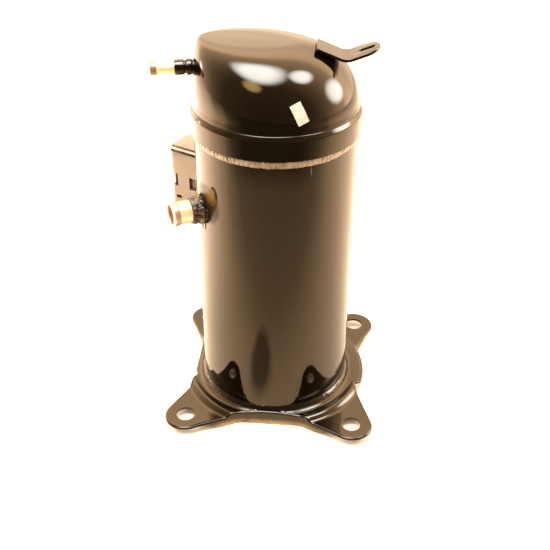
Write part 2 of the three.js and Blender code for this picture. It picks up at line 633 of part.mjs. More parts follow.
add('fixed_scroll', fixedScroll(), IRON);

BOLT_ANGLES.forEach((a, i) => {
  const { x, y } = around(BOLT_CIRCLE, a);
  const bolt = join(rod(2.3, 293, 331, 12), rod(5, 330.8, 335.8, 6));
  add(`scroll_bolt_${i + 1}`, bolt.translate(x, y, 0), STEEL);
});

add('discharge_valve_disc', rod(10.4, VALVE_SEAT + GAP, VALVE_SEAT + 1.3, COARSE + 4), STEEL);
add('valve_retainer', cut(rod(16, FIXED_TOP + GAP, FIXED_TOP + 2.3, COARSE + 4),
  ...[0, 120, 240].map((a) => rod(3.2, 340, 360, 12).translate(...around(7, a)))), STEEL);
add('floating_seal', turned([
  [26.6, SEAL_GROOVE + 0.4], [49.4, SEAL_GROOVE + 0.4], [49.4, FIXED_TOP + 1], [34, FIXED_TOP + 2],
  [33, FIXED_TOP + 8.6], [28.5, FIXED_TOP + 8.6], [28.5, FIXED_TOP + 2], [26.6, FIXED_TOP + 1],
], 40), IRON);

// ---- High side ------------------------------------------------------------------
const SEPARATOR_Z = 355;
const RELIEF = { x: -52, y: 0, r: 7, bore: 4.6 };
add('separator_plate', cut(turned([
  [25, SEPARATOR_Z], [68, SEPARATOR_Z], [78, SHELL_TOP + GAP], [SHELL_R, SHELL_TOP + GAP],
  [SHELL_R, SHELL_TOP + 3.3], [79, SHELL_TOP + 3.3], [69, SEPARATOR_Z + WALL], [25, SEPARATOR_Z + WALL],
], WIDE), rod(4.6, 340, 380, 16).translate(RELIEF.x, RELIEF.y, 0)), STEEL);

const reliefPlace = new THREE.Group();
reliefPlace.position.set(RELIEF.x, RELIEF.y, SEPARATOR_Z + WALL + GAP);
compressor.add(reliefPlace);
add('relief_valve_body', turned([
  [RELIEF.bore, 0], [RELIEF.r, 0], [RELIEF.r, 21], [1.5, 21], [1.5, 18], [RELIEF.bore, 18],
], 20), BRONZE, reliefPlace);
add('relief_plunger', rod(RELIEF.bore - GAP, 11.2, 17.6, 16), STEEL, reliefPlace);
add('relief_spring_seat', ring(RELIEF.bore - GAP, 2, 0.2, 1.9, 16), STEEL, reliefPlace);

const SPRING_TURNS = 5;
const spring = Array.from({ length: SPRING_TURNS * 8 + 1 }, (_, i) => {
  const a = (i / 8) * 360;
  return around(3.2, a, 2.9 + (7.4 * i) / (SPRING_TURNS * 8)).toArray();
});
add('relief_spring', tube(spring, 0.5, SPRING_TURNS * 8, 2), STEEL, reliefPlace);

// ---- Inside wiring, gas and oil parts -------------------------------------------
add('inner_plug', cut(
  prism(roundedRect(-12, 12, -12, 12, 4), 66, 78).translate(0, TERMINAL_DROP, 0),
  ...pins.map(([x, y]) => rod(1.9, 71, 90, 12).translate(x, y + TERMINAL_DROP, 0)),
), PLASTIC, boxSide);
[-8, 0, 8].forEach((x, i) => {
  const top = BOX.z + TERMINAL_DROP - 12 - GAP;
  const bottom = STACK_TOP + 26 + GAP + 1;
  const a = radians(BOX.azimuth);
  const at = (r, z) => [r * Math.cos(a) - x * Math.sin(a), r * Math.sin(a) + x * Math.cos(a), z];
  add(`motor_lead_${i + 1}`, tube([at(72, top), at(72, top - 6), at(62, bottom + 4), at(61, bottom)],
    1.6, 7, 3), ENAMEL);
});

function suctionBaffle() {
  const arc = new THREE.Shape();
  arc.absarc(0, 0, 71.5, radians(-18), radians(18), false);
  arc.absarc(0, 0, 70, radians(18), radians(-18), true);
  const plate = prism(arc, 236, 268, 10);
  const legs = [-18, 18].map((a) =>
    block(70.2, INSIDE_R - GAP, -0.8, 0.8, 236, 268).rotateZ(radians(a)));
  return join(plate, ...legs).rotateZ(radians(SUCTION.azimuth));
}
add('suction_baffle', suctionBaffle(), STEEL);
add('sump_magnet', ring(12, 5.6, 8.4, 12.4, 24).translate(36, 20, 0), IRON);

export default compressor;
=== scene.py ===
"""Looks of the scroll compressor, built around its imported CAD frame. Metres, +Z up.

The black enamelled shell, caps, base plate, spuds, bracket and terminal box, the copper stubs and
the relief valve's spring are remade as fine meshes on the CAD's own dimensions. Everything else
inside the shell keeps its CAD solid and gets a material of its own.
"""
import json
from math import acos, atan2, ceil, cos, degrees, exp, hypot, pi, radians, sin, sqrt, tan

import bmesh
import bpy
from mathutils import Matrix, Quaternion, Vector, noise
from mathutils.bvhtree import BVHTree
from mathutils.geometry import delaunay_2d_cdt

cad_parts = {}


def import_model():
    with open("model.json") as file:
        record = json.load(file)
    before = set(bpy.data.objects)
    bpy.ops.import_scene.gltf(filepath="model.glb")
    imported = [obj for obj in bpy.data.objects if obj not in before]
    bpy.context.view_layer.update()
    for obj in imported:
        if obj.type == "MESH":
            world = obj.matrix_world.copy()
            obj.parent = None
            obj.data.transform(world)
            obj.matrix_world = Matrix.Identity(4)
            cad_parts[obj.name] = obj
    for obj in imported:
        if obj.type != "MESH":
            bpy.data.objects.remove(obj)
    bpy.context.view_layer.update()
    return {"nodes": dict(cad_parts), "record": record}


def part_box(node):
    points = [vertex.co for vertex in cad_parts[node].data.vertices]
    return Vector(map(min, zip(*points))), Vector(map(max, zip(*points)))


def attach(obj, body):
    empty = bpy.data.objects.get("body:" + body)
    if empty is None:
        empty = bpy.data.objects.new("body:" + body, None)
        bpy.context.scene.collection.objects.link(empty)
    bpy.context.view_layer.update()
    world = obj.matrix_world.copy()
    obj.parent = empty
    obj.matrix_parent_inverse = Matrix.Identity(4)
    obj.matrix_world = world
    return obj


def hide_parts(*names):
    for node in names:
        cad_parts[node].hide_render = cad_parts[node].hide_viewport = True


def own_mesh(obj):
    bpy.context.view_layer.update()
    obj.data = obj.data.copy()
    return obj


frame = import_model()
nodes = frame["nodes"]

MM = 0.001

# ---- Driving dimensions, in millimetres ----
SHELL_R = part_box("shell_tube")[1].x / MM
SHELL_WALL = 3.2
SHELL_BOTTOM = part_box("shell_tube")[0].z / MM
SHELL_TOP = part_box("shell_tube")[1].z / MM
SKIRT_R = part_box("top_cap")[1].x / MM
SKIRT_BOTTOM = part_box("top_cap")[0].z / MM
SHOULDER_Z = SKIRT_BOTTOM + 17.4
DOME_BASE_Z = SKIRT_BOTTOM + 27.6
DOME_R = 84.9
DOME_TOP_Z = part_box("top_cap")[1].z / MM - 1.3
DOME_TOP = {"x": -29, "y": -5, "long": 46, "wide": 18, "turn": -6, "crown": 0.25}
DOME_SQUARE = (1.95, 2.3)          # superellipse exponents, long slope and steep side
SHEET = 3
CAP_SHEET = 2.6

HALF_PITCH = 190.5 / 2
FOOT_TIP_R = 24
FOOT_HOLE_R = 10.8
PAD_TOP = 12
CROWN_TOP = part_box("base_plate")[1].z / MM

SUCTION = {"azimuth": -150.8, "z": 254.5, "tip": 120.1, "r": 12.2, "bore": 11}
DISCHARGE = {"azimuth": -166.7, "z": 401.6, "tip": 125.2, "r": 6.35, "bore": 5.3}
BOX = {"azimuth": 153, "z": 245, "half": 19, "up": 41, "back": 88, "front": 128}
TERMINAL_DROP = -9
TERMINAL_R = 16.3
BRACKET = {"azimuth": 2.6, "x": 65.7, "y": -8.8, "z": 412.5, "width": 30.5, "leg": 31.5,
           "arm": 34.9, "thick": 3, "fall": 22.5, "rise": 20.8, "slot": (13.5, 30.2, 3.3)}


# ---- Small geometry tools ----
def smoothstep(a, b, x):
    t = min(max((x - a) / (b - a), 0), 1)
    return t * t * (3 - 2 * t)


def lerp(a, b, t):
    return a + (b - a) * t


def rounded(corners, closed=True, step=14):
    """A polyline with each (x, y, radius) corner rounded to an arc of that radius."""
    out, count = [], len(corners)
    for i, (x, y, radius) in enumerate(corners):
        here = Vector((x, y))
        if radius <= 0 or (not closed and i in (0, count - 1)):
            out.append(here)
            continue
        before = Vector(corners[i - 1][:2]) - here
        after = Vector(corners[(i + 1) % count][:2]) - here
        opening = before.angle(after)
        reach = radius / tan(opening / 2)
        limit = 0.49 * min(before.length, after.length)
        if reach > limit:
            radius *= limit / reach
            reach = limit
        start = here + before.normalized() * reach
        bisector = (before.normalized() + after.normalized()).normalized()
        centre = here + bisector * (radius / sin(opening / 2))
        sweep = pi - opening
        steps = max(2, ceil(degrees(sweep) / step))
        arm = start - centre
        turn = 1 if (arm.x * after.y - arm.y * after.x) > 0 else -1
        for k in range(steps + 1):
            a = turn * sweep * k / steps
            out.append(centre + Vector((arm.x * cos(a) - arm.y * sin(a),
                                        arm.x * sin(a) + arm.y * cos(a))))
    return out


def polar(r, a, z):
    return r * cos(a), r * sin(a), z


def pairs(loop):
    """Each point of a closed loop with the next."""
    return zip(loop, loop[1:] + loop[:1])


def circle(r, count, x=0, y=0):
    """Evenly spaced points round a circle."""
    turns = [2 * pi * k / count for k in range(count)]
    return [Vector((x + r * cos(a), y + r * sin(a))) for a in turns]


def arc(cx, cy, r, a0, a1, steps=24):
    turns = [radians(lerp(a0, a1, k / steps)) for k in range(steps + 1)]
    return [(cx + r * cos(a), cy + r * sin(a)) for a in turns]


def added(name, data):
    """A new object in the scene."""
    obj = bpy.data.objects.new(name, data)
    bpy.context.scene.collection.objects.link(obj)
    return obj


def mesh_of(name, verts, faces, place=None):
    """A mesh from points in millimetres, moved to its place."""
    mesh = bpy.data.meshes.new(name)
    mesh.from_pydata([Vector(v) * MM for v in verts], [], faces)
    if place is not None:
        mesh.transform(place)
    return mesh


def settle(name, mesh, material, body="housing", slot="black_paint", replaces=(), crease=40):
    """The mesh made into an object that rides on a body."""
    obj = added(name, mesh)
    mesh.materials.clear()
    mesh.materials.append(material)
    refresh(mesh, crease)
    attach(obj, body)
    if replaces:
        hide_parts(*replaces)
    return obj


def piece(name, verts, faces, material, place=None, **how):
    return settle(name, mesh_of(name, verts, faces, place), material, **how)


def refresh(mesh, crease=40):
    """Doubles merged, faces turned out, smooth shading with creases at sharp edges."""
    bm = bmesh.new()
    bm.from_mesh(mesh)
    bmesh.ops.remove_doubles(bm, verts=bm.verts, dist=2e-6)
    bmesh.ops.dissolve_degenerate(bm, edges=bm.edges, dist=1e-7)
    bmesh.ops.recalc_face_normals(bm, faces=bm.faces)
    limit = radians(crease)
    for face in bm.faces:
        face.smooth = True
    for edge in bm.edges:
        edge.smooth = len(edge.link_faces) == 2 and edge.calc_face_angle(0) < limit
    bm.to_mesh(mesh)
    bm.free()


def evaluated(obj):
    """The object's mesh as its modifiers leave it."""
    bpy.context.view_layer.update()
    graph = bpy.context.evaluated_depsgraph_get()
    return bpy.data.meshes.new_from_object(obj.evaluated_get(graph))


def applied(obj):
    """The object's modifiers are applied to its mesh."""
    mesh = evaluated(obj)
    obj.modifiers.clear()
    old = obj.data
    obj.data = mesh
    bpy.data.meshes.remove(old)


def face_out(mesh):
    """An open sheet's faces turned away from the middle of its bounding box."""
    low, high = (Vector([f(v.co[i] for v in mesh.vertices) for i in range(3)]) for f in (min, max))
    middle = (low + high) / 2
    if sum(f.area * f.normal.dot(f.center - middle) for f in mesh.polygons) < 0:
        mesh.flip_normals()


def solidify(obj, thickness, crease=40, even=True):
    """The open sheet thickened inward."""
    face_out(obj.data)
    mod = obj.modifiers.new("sheet", "SOLIDIFY")
    mod.thickness = thickness * MM
    mod.offset = -1
    mod.use_even_offset = even
    applied(obj)
    refresh(obj.data, crease)
    return obj


def carve(obj, cutters):
    """Cuts closed shapes, each its vertices, faces and place, out of the object."""
    for cutter in cutters:
        mesh = mesh_of("cutter", *cutter)
        tool = added("cutter", mesh)
        refresh(mesh)
        mod = obj.modifiers.new("cut", "BOOLEAN")
        mod.object = tool
        mod.operation = "DIFFERENCE"
        mod.solver = "EXACT"
        applied(obj)
        bpy.data.objects.remove(tool)
        bpy.data.meshes.remove(mesh)
    refresh(obj.data)


def grid_faces(rows, columns, wrap=True, first=0):
    """Quads between rows of points that are numbered from first."""
    faces = []
    for i in range(rows - 1):
        a, b = first + i * columns, first + (i + 1) * columns
        for j in range(columns if wrap else columns - 1):
            k = (j + 1) % columns
            faces.append((a + j, a + k, b + k, b + j))
    return faces


def revolved(profile, segments, closed=True, wobble=None):
    """Vertices and faces of a profile of (radius, height) points turned about Z."""
    verts = []
    rows = profile + (profile[:1] if closed else [])
    for r, z in rows:
        for j in range(segments):
            a = 2 * pi * j / segments
            dr, dz = wobble(a, r, z) if wobble else (0, 0)
            verts.append(polar(r + dr, a, z + dz))
    return verts, grid_faces(len(rows), segments)


def box_mesh(x0, x1, y0, y1, z0, z1):
    verts = [(x, y, z) for z in (z0, z1) for y in (y0, y1) for x in (x0, x1)]
    return verts, [(0, 2, 3, 1), (4, 5, 7, 6), (0, 1, 5, 4), (2, 6, 7, 3), (0, 4, 6, 2), (1, 3, 7, 5)]


def rod_mesh(r, z0, z1, segments=48):
    verts = [(*p, z) for z in (z0, z1) for p in circle(r, segments)]
    ends = [tuple(range(segments - 1, -1, -1)), tuple(range(segments, 2 * segments))]
    return verts, grid_faces(2, segments) + ends


def station(azimuth, z):
    """Local Z points out from the shell at an azimuth, local Y is up, local X is sideways."""
    a = radians(azimuth)
    turn = Matrix(((-sin(a), 0, cos(a)), (cos(a), 0, sin(a)), (0, 1, 0)))
    return Matrix.Translation((0, 0, z * MM)) @ turn.to_4x4()


SUCTION_PLACE = station(SUCTION["azimuth"], SUCTION["z"])
DISCHARGE_PLACE = station(DISCHARGE["azimuth"], DISCHARGE["z"])
BOX_PLACE = station(BOX["azimuth"], BOX["z"])


# ---- Materials ----
LACQUER = (1, 0.79, 0.52)       # tints of the paint's own reflections
SATIN_TINT = (1, 0.82, 0.6)


class Nodes:
    """A short way to write a material's node tree."""

    def __init__(self, name):
        self.material = bpy.data.materials.new(name)
        self.material.use_nodes = True
        self.tree = self.material.node_tree
        self.shader = self.tree.nodes["Principled BSDF"]
        self.place = self.add("TexCoord").outputs["Object"]

    def plug(self, socket, value):
        """A link from another node's output, or else the socket's own value."""
        if hasattr(value, "is_linked"):
            self.tree.links.new(value, socket)
        elif isinstance(value, tuple) and socket.type == "RGBA":
            socket.default_value = (*value, 1)
        else:
            socket.default_value = value

    def fill(self, node, values):
        """The node's own settings, and its inputs, by name."""
        for key, value in values.items():
            if hasattr(node, key):
                setattr(node, key, value)
            else:
                self.plug(node.inputs[key.replace("_", " ")], value)
        return node

    def add(self, kind, **values):
        return self.fill(self.tree.nodes.new("ShaderNode" + kind), values)

    def combine(self, node, values):
        for socket, value in zip(node.inputs, values):
            self.plug(socket, value)
        return node.outputs

    def math(self, operation, *values):
        return self.combine(self.add("Math", operation=operation), values)[0]

    def vector(self, operation, *values):
        return self.combine(self.add("VectorMath", operation=operation), values)["Vector"]

    def measure(self, operation, *values):
        """A number made from vectors, such as a length."""
        return self.combine(self.add("VectorMath", operation=operation), values)["Value"]

    def noise(self, scale, detail=3, roughness=0.55, vector=None, distortion=0):
        node = self.add("TexNoise", Scale=scale, Detail=detail, Roughness=roughness,
                        Distortion=distortion, Vector=vector or self.place)
        return node.outputs["Fac"]

    def wave(self, axis, scale, **how):
        node = self.add("TexWave", bands_direction=axis, Scale=scale, Vector=self.place, **how)
        return node.outputs["Fac"]

    def stretched(self, *scale, move=(0, 0, 0)):
        return self.add("Mapping", Vector=self.place, Scale=scale, Location=move).outputs["Vector"]

    def split(self, vector):
        return self.add("SeparateXYZ", Vector=vector).outputs

    def from_axis(self):
        """Distance from the compressor's axis."""
        return self.measure("LENGTH", self.vector("MULTIPLY", self.place, (1, 1, 0)))

    def ramp(self, fac, stops):
        node = self.add("ValToRGB", Fac=fac)
        elements = node.color_ramp.elements
        while len(elements) < len(stops):
            elements.new(0.5)
        for element, (at, colour) in zip(elements, stops):
            element.position = at
            element.color = (*colour, 1)
        return node.outputs["Color"]

    def span(self, fac, low, high, from_low=0, from_high=1, **how):
        """A value carried from one range to another, held at the ends."""
        node = self.add("MapRange", Value=fac, From_Min=from_low, From_Max=from_high, To_Min=low,
                        To_Max=high, **how)
        return node.outputs["Result"]

    def mix(self, fac, a, b):
        node = self.add("Mix", data_type="RGBA")
        for index, value in ((0, fac), (6, a), (7, b)):
            self.plug(node.inputs[index], value)
        return node.outputs[2]

    def bump(self, height, distance, strength=1, **below):
        node = self.add("Bump", Strength=strength, Distance=distance, Height=height, **below)
        return node.outputs["Normal"]

    def set(self, **values):
        self.fill(self.shader, values)
        return self.material

    def surface(self, shader):
        """The material with another shader in place of the usual one."""
        self.plug(self.tree.nodes["Material Output"].inputs["Surface"], shader.outputs[0])
        return self.material


def enamel(name, floor_reflection_paint=0, soot_and_copper_reflection=()):
    """Black baked enamel: mirror gloss over a faint orange peel.

    Parts on the floor turn warm tan low down: a painted reflection of the lit floor. Soot from the
    torch, and a gold patch that is a painted reflection of the copper stub, lie at the places given,
    each a centre and the distances where it is full and gone."""
    n = Nodes(name)
    grime = n.noise(60, 5, vector=n.stretched(1, 1, 0.22))
    colour = n.ramp(n.noise(9, 4), [(0.3, (0.001, 0.0008, 0.0006)), (0.7, (0.0026, 0.0019, 0.0013))])
    rough = n.math("ADD", n.span(n.noise(14), 0.03, 0.06), n.span(grime, -0.01, 0.04, 0.35, 0.75))
    if floor_reflection_paint:
        # Painted reflection of the lit floor: the enamel turns warm tan and rougher low down, in patches.
        low = n.span(n.split(n.place)["Z"], 1, 0, 0.0015, 0.0085)
        patchy = n.span(n.noise(45, 4), 0.35, 1, 0.35, 0.6)
        film = n.math("MULTIPLY", n.math("MULTIPLY", low, patchy), floor_reflection_paint)
        colour = n.mix(film, colour, (0.34, 0.25, 0.14))
        rough = n.math("ADD", rough, n.math("MULTIPLY", film, 0.3))
    gloss = 0.5
    if soot_and_copper_reflection:
        masks = []
        for centre, inner, outer in soot_and_copper_reflection:
            ragged = n.math("ADD", n.measure("DISTANCE", n.place, centre),
                            n.span(n.noise(70, 4), -0.004, 0.004))
            masks.append(n.span(ragged, 1, 0, inner, outer))
        # The second place is a gold patch, a painted reflection of the copper stub on the shell.
        soot, gold = masks
        burnt = n.mix(gold, (0.01, 0.007, 0.004), (0.085, 0.047, 0.01))
        colour = n.mix(soot, colour, burnt)
        rough = n.math("ADD", rough, n.math("MULTIPLY", soot, 0.22))
        gloss = n.span(soot, gloss, 0.16)
    wave = n.bump(n.noise(38, 1.5), 0.0011, 0.08)
    return n.set(Base_Color=colour, Roughness=rough, IOR=1.47, Specular_Tint=LACQUER,
                 Specular_IOR_Level=gloss,
                 Normal=n.bump(n.noise(170, 2), 0.00022, 0.08, Normal=wave))


def scorched_weld():
    """A ground and over-painted weld bead: tan scale with black left in its hollows."""
    n = Nodes("scorched_weld")
    patch = n.noise(120, 6, 0.62, distortion=0.4)
    colour = n.ramp(patch, [(0.3, (0.02, 0.014, 0.009)), (0.4, (0.1, 0.076, 0.05)),
                            (0.58, (0.165, 0.13, 0.09)), (0.78, (0.25, 0.205, 0.15))])
    bead = n.bump(n.noise(260, 5), 0.0006, 0.5)
    return n.set(Base_Color=colour, Metallic=n.span(patch, 0, 0.15, 0.4, 0.7),
                 Roughness=n.span(patch, 0.16, 0.42, 0.3, 0.75),
                 Normal=n.bump(patch, 0.001, 0.45, Normal=bead))


def brazing():
    """The suction joint: black, crusted brazing flux with pale specks; torch gold by the shell."""
    n = Nodes("charred_brazing")
    crust = n.noise(210, 5, 0.65, distortion=0.6)
    black = n.ramp(crust, [(0.4, (0.004, 0.003, 0.002)), (0.54, (0.022, 0.015, 0.01)),
                           (0.64, (0.16, 0.12, 0.09)), (0.78, (0.42, 0.35, 0.28))])
    gold = n.ramp(n.noise(90), [(0.34, (0.1, 0.05, 0.012)), (0.52, (0.62, 0.36, 0.07)),
                                (0.75, (0.85, 0.58, 0.16))])
    edge = n.math("ADD", n.from_axis(), n.span(crust, -0.001, 0.001))
    near = n.span(edge, 0.8, 0, 0.0835, 0.0848)
    return n.set(Base_Color=n.mix(near, black, gold), Metallic=n.span(near, 0, 0.75), IOR=1.5,
                 Roughness=n.span(crust, 0.12, 0.5, 0.3, 0.7), Specular_Tint=LACQUER,
                 Normal=n.bump(crust, 0.0014, 0.7))


def copper(name, band, lip, mouth):
    """Drawn copper, yellowed by the torch; a band at its open end is browned, and its lip is painted near
    white as a painted highlight.
    """
    n = Nodes(name)
    stain = n.noise(70, 5, 0.6)
    base = n.ramp(stain, [(0.25, (0.62, 0.36, 0.18)), (0.5, (0.92, 0.68, 0.4)),
                          (0.8, (0.98, 0.84, 0.58))])
    yellow = n.mix(n.span(n.noise(26), 0, 0.7, 0.4, 0.7), base, (0.97, 0.82, 0.48))
    past = n.math("SUBTRACT", n.from_axis(), n.math("MULTIPLY_ADD", stain, 0.002, band - 0.001))
    burnt = n.mix(n.span(n.noise(55, 2), 0, 0.8, 0.56, 0.68), yellow, (0.9, 0.42, 0.12))
    browned = n.mix(n.span(past, 0, 0.9, -0.0006, 0.0008), burnt, mouth)
    # Painted highlight: the lip at the open end is painted near white.
    colour = n.mix(n.span(past, 0, 0.85, lip - 0.0006, lip + 0.0004), browned, (0.97, 0.86, 0.72))
    marks = n.noise(900, 2, vector=n.stretched(1, 0.4, 0.4))
    return n.set(Base_Color=colour, Metallic=0.65, Roughness=n.span(stain, 0.22, 0.4),
                 Normal=n.bump(marks, 0.00006, 0.5))


def metal(name, dark, light, low, high, grain=300, metallic=1, depth=0.0002):
    """Machined, cast or sheet metal with its own grain and stain."""
    n = Nodes(name)
    stain = n.noise(35, 5, 0.6)
    fine = n.noise(grain, 4)
    return n.set(Base_Color=n.ramp(stain, [(0.3, dark), (0.72, light)]), Metallic=metallic,
                 Roughness=n.span(fine, low, high, 0.3, 0.7),
                 Normal=n.bump(fine, depth, 0.4))


def laminated():
    """Stacked electrical steel: thin dark lines between the sheets."""
    n = Nodes("laminations")
    line = n.wave("Z", 320, Distortion=0.3)
    return n.set(Base_Color=n.ramp(line, [(0.1, (0.05, 0.05, 0.055)), (0.5, (0.28, 0.29, 0.31))]),
                 Metallic=0.9, Roughness=n.span(n.noise(80), 0.35, 0.55),
                 Normal=n.bump(line, 0.0003, 0.4))


def windings():
    """Varnished copper wire, wound round the core."""
    n = Nodes("enamelled_wire")
    turns = n.wave("Z", 210, Distortion=3, Detail=2)
    colour = n.mix(n.noise(40), (0.3, 0.11, 0.035), (0.58, 0.27, 0.1))
    return n.set(Base_Color=colour, Metallic=0.4, Roughness=0.32, Normal=n.bump(turns, 0.0008, 0.6))


def moulded(name, colour, rough):
    n = Nodes(name)
    fine = n.noise(700, 3)
    tone = n.ramp(n.noise(30), [(0.3, tuple(0.8 * c for c in colour)), (0.7, colour)])
    return n.set(Base_Color=tone, Roughness=n.span(fine, rough - 0.08, rough + 0.08),
                 Normal=n.bump(fine, 0.00008, 0.4))


def ribbed_block():
    """The moulded wall behind the cover's windows, ribbed both ways."""
    n = Nodes("ribbed_block")
    ribs = n.math("MAXIMUM", n.wave("Z", 80), n.wave("X", 80))
    return n.set(Base_Color=n.ramp(ribs, [(0.55, (0.045, 0.024, 0.02)), (0.85, (0.2, 0.135, 0.115))]),
                 Roughness=n.span(n.noise(300), 0.35, 0.55), Normal=n.bump(ribs, 0.0004, 0.6))


def bead_glass():
    n = Nodes("sealing_glass")
    return n.set(Base_Color=n.mix(n.noise(120), (0.05, 0.12, 0.09), (0.12, 0.22, 0.17)),
                 Roughness=n.span(n.noise(300), 0.06, 0.16))


def paper():
    """A small blank label: off-white paper with a faint fibre."""
    n = Nodes("label_paper")
    fibre = n.noise(1400, 4, vector=n.stretched(1, 1, 0.3))
    tone = n.ramp(n.noise(220, 5), [(0.3, (0.26, 0.25, 0.25)), (0.6, (0.36, 0.36, 0.37))])
    return n.set(Base_Color=tone, Roughness=n.span(fibre, 0.42, 0.62),
                 Normal=n.bump(fibre, 0.00005, 0.5))


def floor_paint():
    n = Nodes("pale_floor")
    tone = n.ramp(n.noise(3), [(0.2, (0.79,) * 3), (0.8, (0.81,) * 3)])
    return n.set(Base_Color=tone, Roughness=0.8, Specular_IOR_Level=0.05)


def rolled_edge():
    """The folded lip: glossy enamel, paler on its upward faces as dust and painted top light, with a
    painted highlight line beside them.
    """
    n = Nodes("rolled_edge")
    up = n.split(n.add("NewGeometry").outputs["Normal"])["Z"]
    # Upward faces painted paler: partly dust, partly painted light falling from above.
    dust_and_top_light = n.math("MULTIPLY", n.span(up, 0, 1, 0.8, 0.97),
                     n.span(n.noise(60, 4), 0.6, 1, 0.3, 0.7))
    # Painted highlight: a bright line on the faces between the top and the side, broken into patches.
    painted_highlight = n.math("MULTIPLY", n.span(up, 0, 1, 0.34, 0.46), n.span(up, 1, 0, 0.62, 0.74))
    painted_highlight = n.math("MULTIPLY", painted_highlight, n.span(n.noise(80), 0.5, 0.95, 0.35, 0.6))
    painted = n.mix(dust_and_top_light, (0.004, 0.003, 0.002), (0.17, 0.15, 0.13))
    return n.set(Base_Color=n.mix(painted_highlight, painted, (0.55, 0.47, 0.42)),
                 Roughness=n.span(dust_and_top_light, 0.07, 0.35), IOR=1.5, Specular_Tint=SATIN_TINT,
                 Normal=n.bump(n.noise(170, 2), 0.0002, 0.1))


def pale_satin():
    """The terminal cover's paint: a pale grey-tan satin, in patches."""
    n = Nodes("pale_satin")
    film = n.noise(34, 5, 0.6)
    colour = n.ramp(film, [(0.25, (0.125, 0.11, 0.096)), (0.75, (0.2, 0.18, 0.16))])
    return n.set(Base_Color=colour, Roughness=n.span(film, 0.22, 0.4), IOR=1.5,
                 Specular_Tint=SATIN_TINT, Normal=n.bump(n.noise(520), 0.00006, 0.3))


ENAMEL = enamel("black_enamel")
# The base plate's enamel, with the painted floor reflection low down.
FLOOR_ENAMEL = enamel("floor_reflection_enamel", floor_reflection_paint=0.75)
SOOT = (tuple(SUCTION_PLACE @ (Vector((12, 13, 84.6)) * MM)), 0.020, 0.025)
# A painted reflection of the copper stub on the shell: a small gold patch beside the collar.
COPPER_REFLECTION_SPOT = (tuple(SUCTION_PLACE @ (Vector((21, 26, 82.8)) * MM)), 0.003, 0.014)
SHELL_ENAMEL = enamel("shell_enamel", soot_and_copper_reflection=(SOOT, COPPER_REFLECTION_SPOT))
BRAZING = brazing()
GRID = ribbed_block()
SATIN = pale_satin()
ROLLED = rolled_edge()
WELD = scorched_weld()
# Past the browned band, the third number sets where the lip's painted highlight begins.
SUCTION_COPPER = copper("suction_copper", 0.1128, 0.0058, (0.34, 0.2, 0.16))
DISCHARGE_COPPER = copper("discharge_copper", 0.119, 0.01, (0.17, 0.09, 0.05))
STEEL = metal("machined_steel", (0.36, 0.35, 0.34), (0.62, 0.61, 0.59), 0.22, 0.4)
IRON = metal("grey_iron", (0.17, 0.165, 0.16), (0.33, 0.32, 0.31), 0.45, 0.68, 160, 0.85, 0.0005)
ALUMINIUM = metal("cast_aluminium", (0.55, 0.56, 0.57), (0.78, 0.79, 0.8), 0.32, 0.5, 220)
BRONZE = metal("turned_bronze", (0.42, 0.27, 0.12), (0.68, 0.47, 0.22), 0.24, 0.42)
LAMINATION = laminated()
WIRE = windings()
PLASTIC = moulded("black_plastic", (0.035, 0.033, 0.031), 0.45)
GLASS = bead_glass()
PAPER = paper()

FINISHES = {"black_paint": ENAMEL, "copper": SUCTION_COPPER, "steel": STEEL, "iron": IRON,
            "aluminium": ALUMINIUM, "bronze": BRONZE, "enamelled_wire": WIRE,
            "lamination": LAMINATION, "black_plastic": PLASTIC, "sealing_glass": GLASS,
            "weld": WELD}
for part in frame["record"]["subparts"]:
    mesh = nodes[part["node"]].data
    mesh.materials.clear()
    mesh.materials.append(FINISHES[part["material_slot"]])


# ---- Shell tube and bottom cap ----
def shell_tube():
    inner = SHELL_R - SHELL_WALL
    profile = [(SHELL_R, lerp(SHELL_BOTTOM, SHELL_TOP, i / 40)) for i in range(41)]
    profile += [(inner, SHELL_TOP), (inner, SHELL_BOTTOM)]
    verts, faces = revolved(profile, 224)
    tube = piece("shell", verts, faces, SHELL_ENAMEL, replaces=["shell_tube"])
    hole = rod_mesh(TERMINAL_R, 60, 100)
    carve(tube, [(*hole, BOX_PLACE @ Matrix.Translation((0, TERMINAL_DROP * MM, 0)))])


def bottom_cap():
    r = SHELL_R - SHELL_WALL - 0.3
    outer = rounded([(0.01, 5, 0), (62, 5, 14), (78.5, 14, 12), (r, 26, 12), (r, 44, 0)],
                    closed=False, step=8)
    verts, faces = revolved(outer, 160, closed=False)
    cap = piece("bottom_bowl", verts, faces, ENAMEL, replaces=["bottom_cap"])
    solidify(cap, SHEET)


shell_tube()
bottom_cap()


# ---- Top cap ----
def dome_point(t, s):
    """A point of the dome at azimuth t and climb s, from 0 at its foot to 1 at its flat top."""
    turn = radians(DOME_TOP["turn"])
    u = DOME_TOP["long"] * cos(t - turn)
    v = DOME_TOP["wide"] * sin(t - turn)
    x1 = DOME_TOP["x"] + u * cos(turn) - v * sin(turn)
    y1 = DOME_TOP["y"] + u * sin(turn) + v * cos(turn)
    power = 2 / lerp(DOME_SQUARE[0], DOME_SQUARE[1], 0.5 - 0.5 * cos(t))
    a = s * pi / 2
    inward = 1 - max(cos(a), 0) ** power
    x = lerp(DOME_R * cos(t), x1, inward)
    y = lerp(DOME_R * sin(t), y1, inward)
    z = DOME_BASE_Z + (DOME_TOP_Z - DOME_TOP["crown"] - DOME_BASE_Z) * sin(a) ** power
    return x, y, z


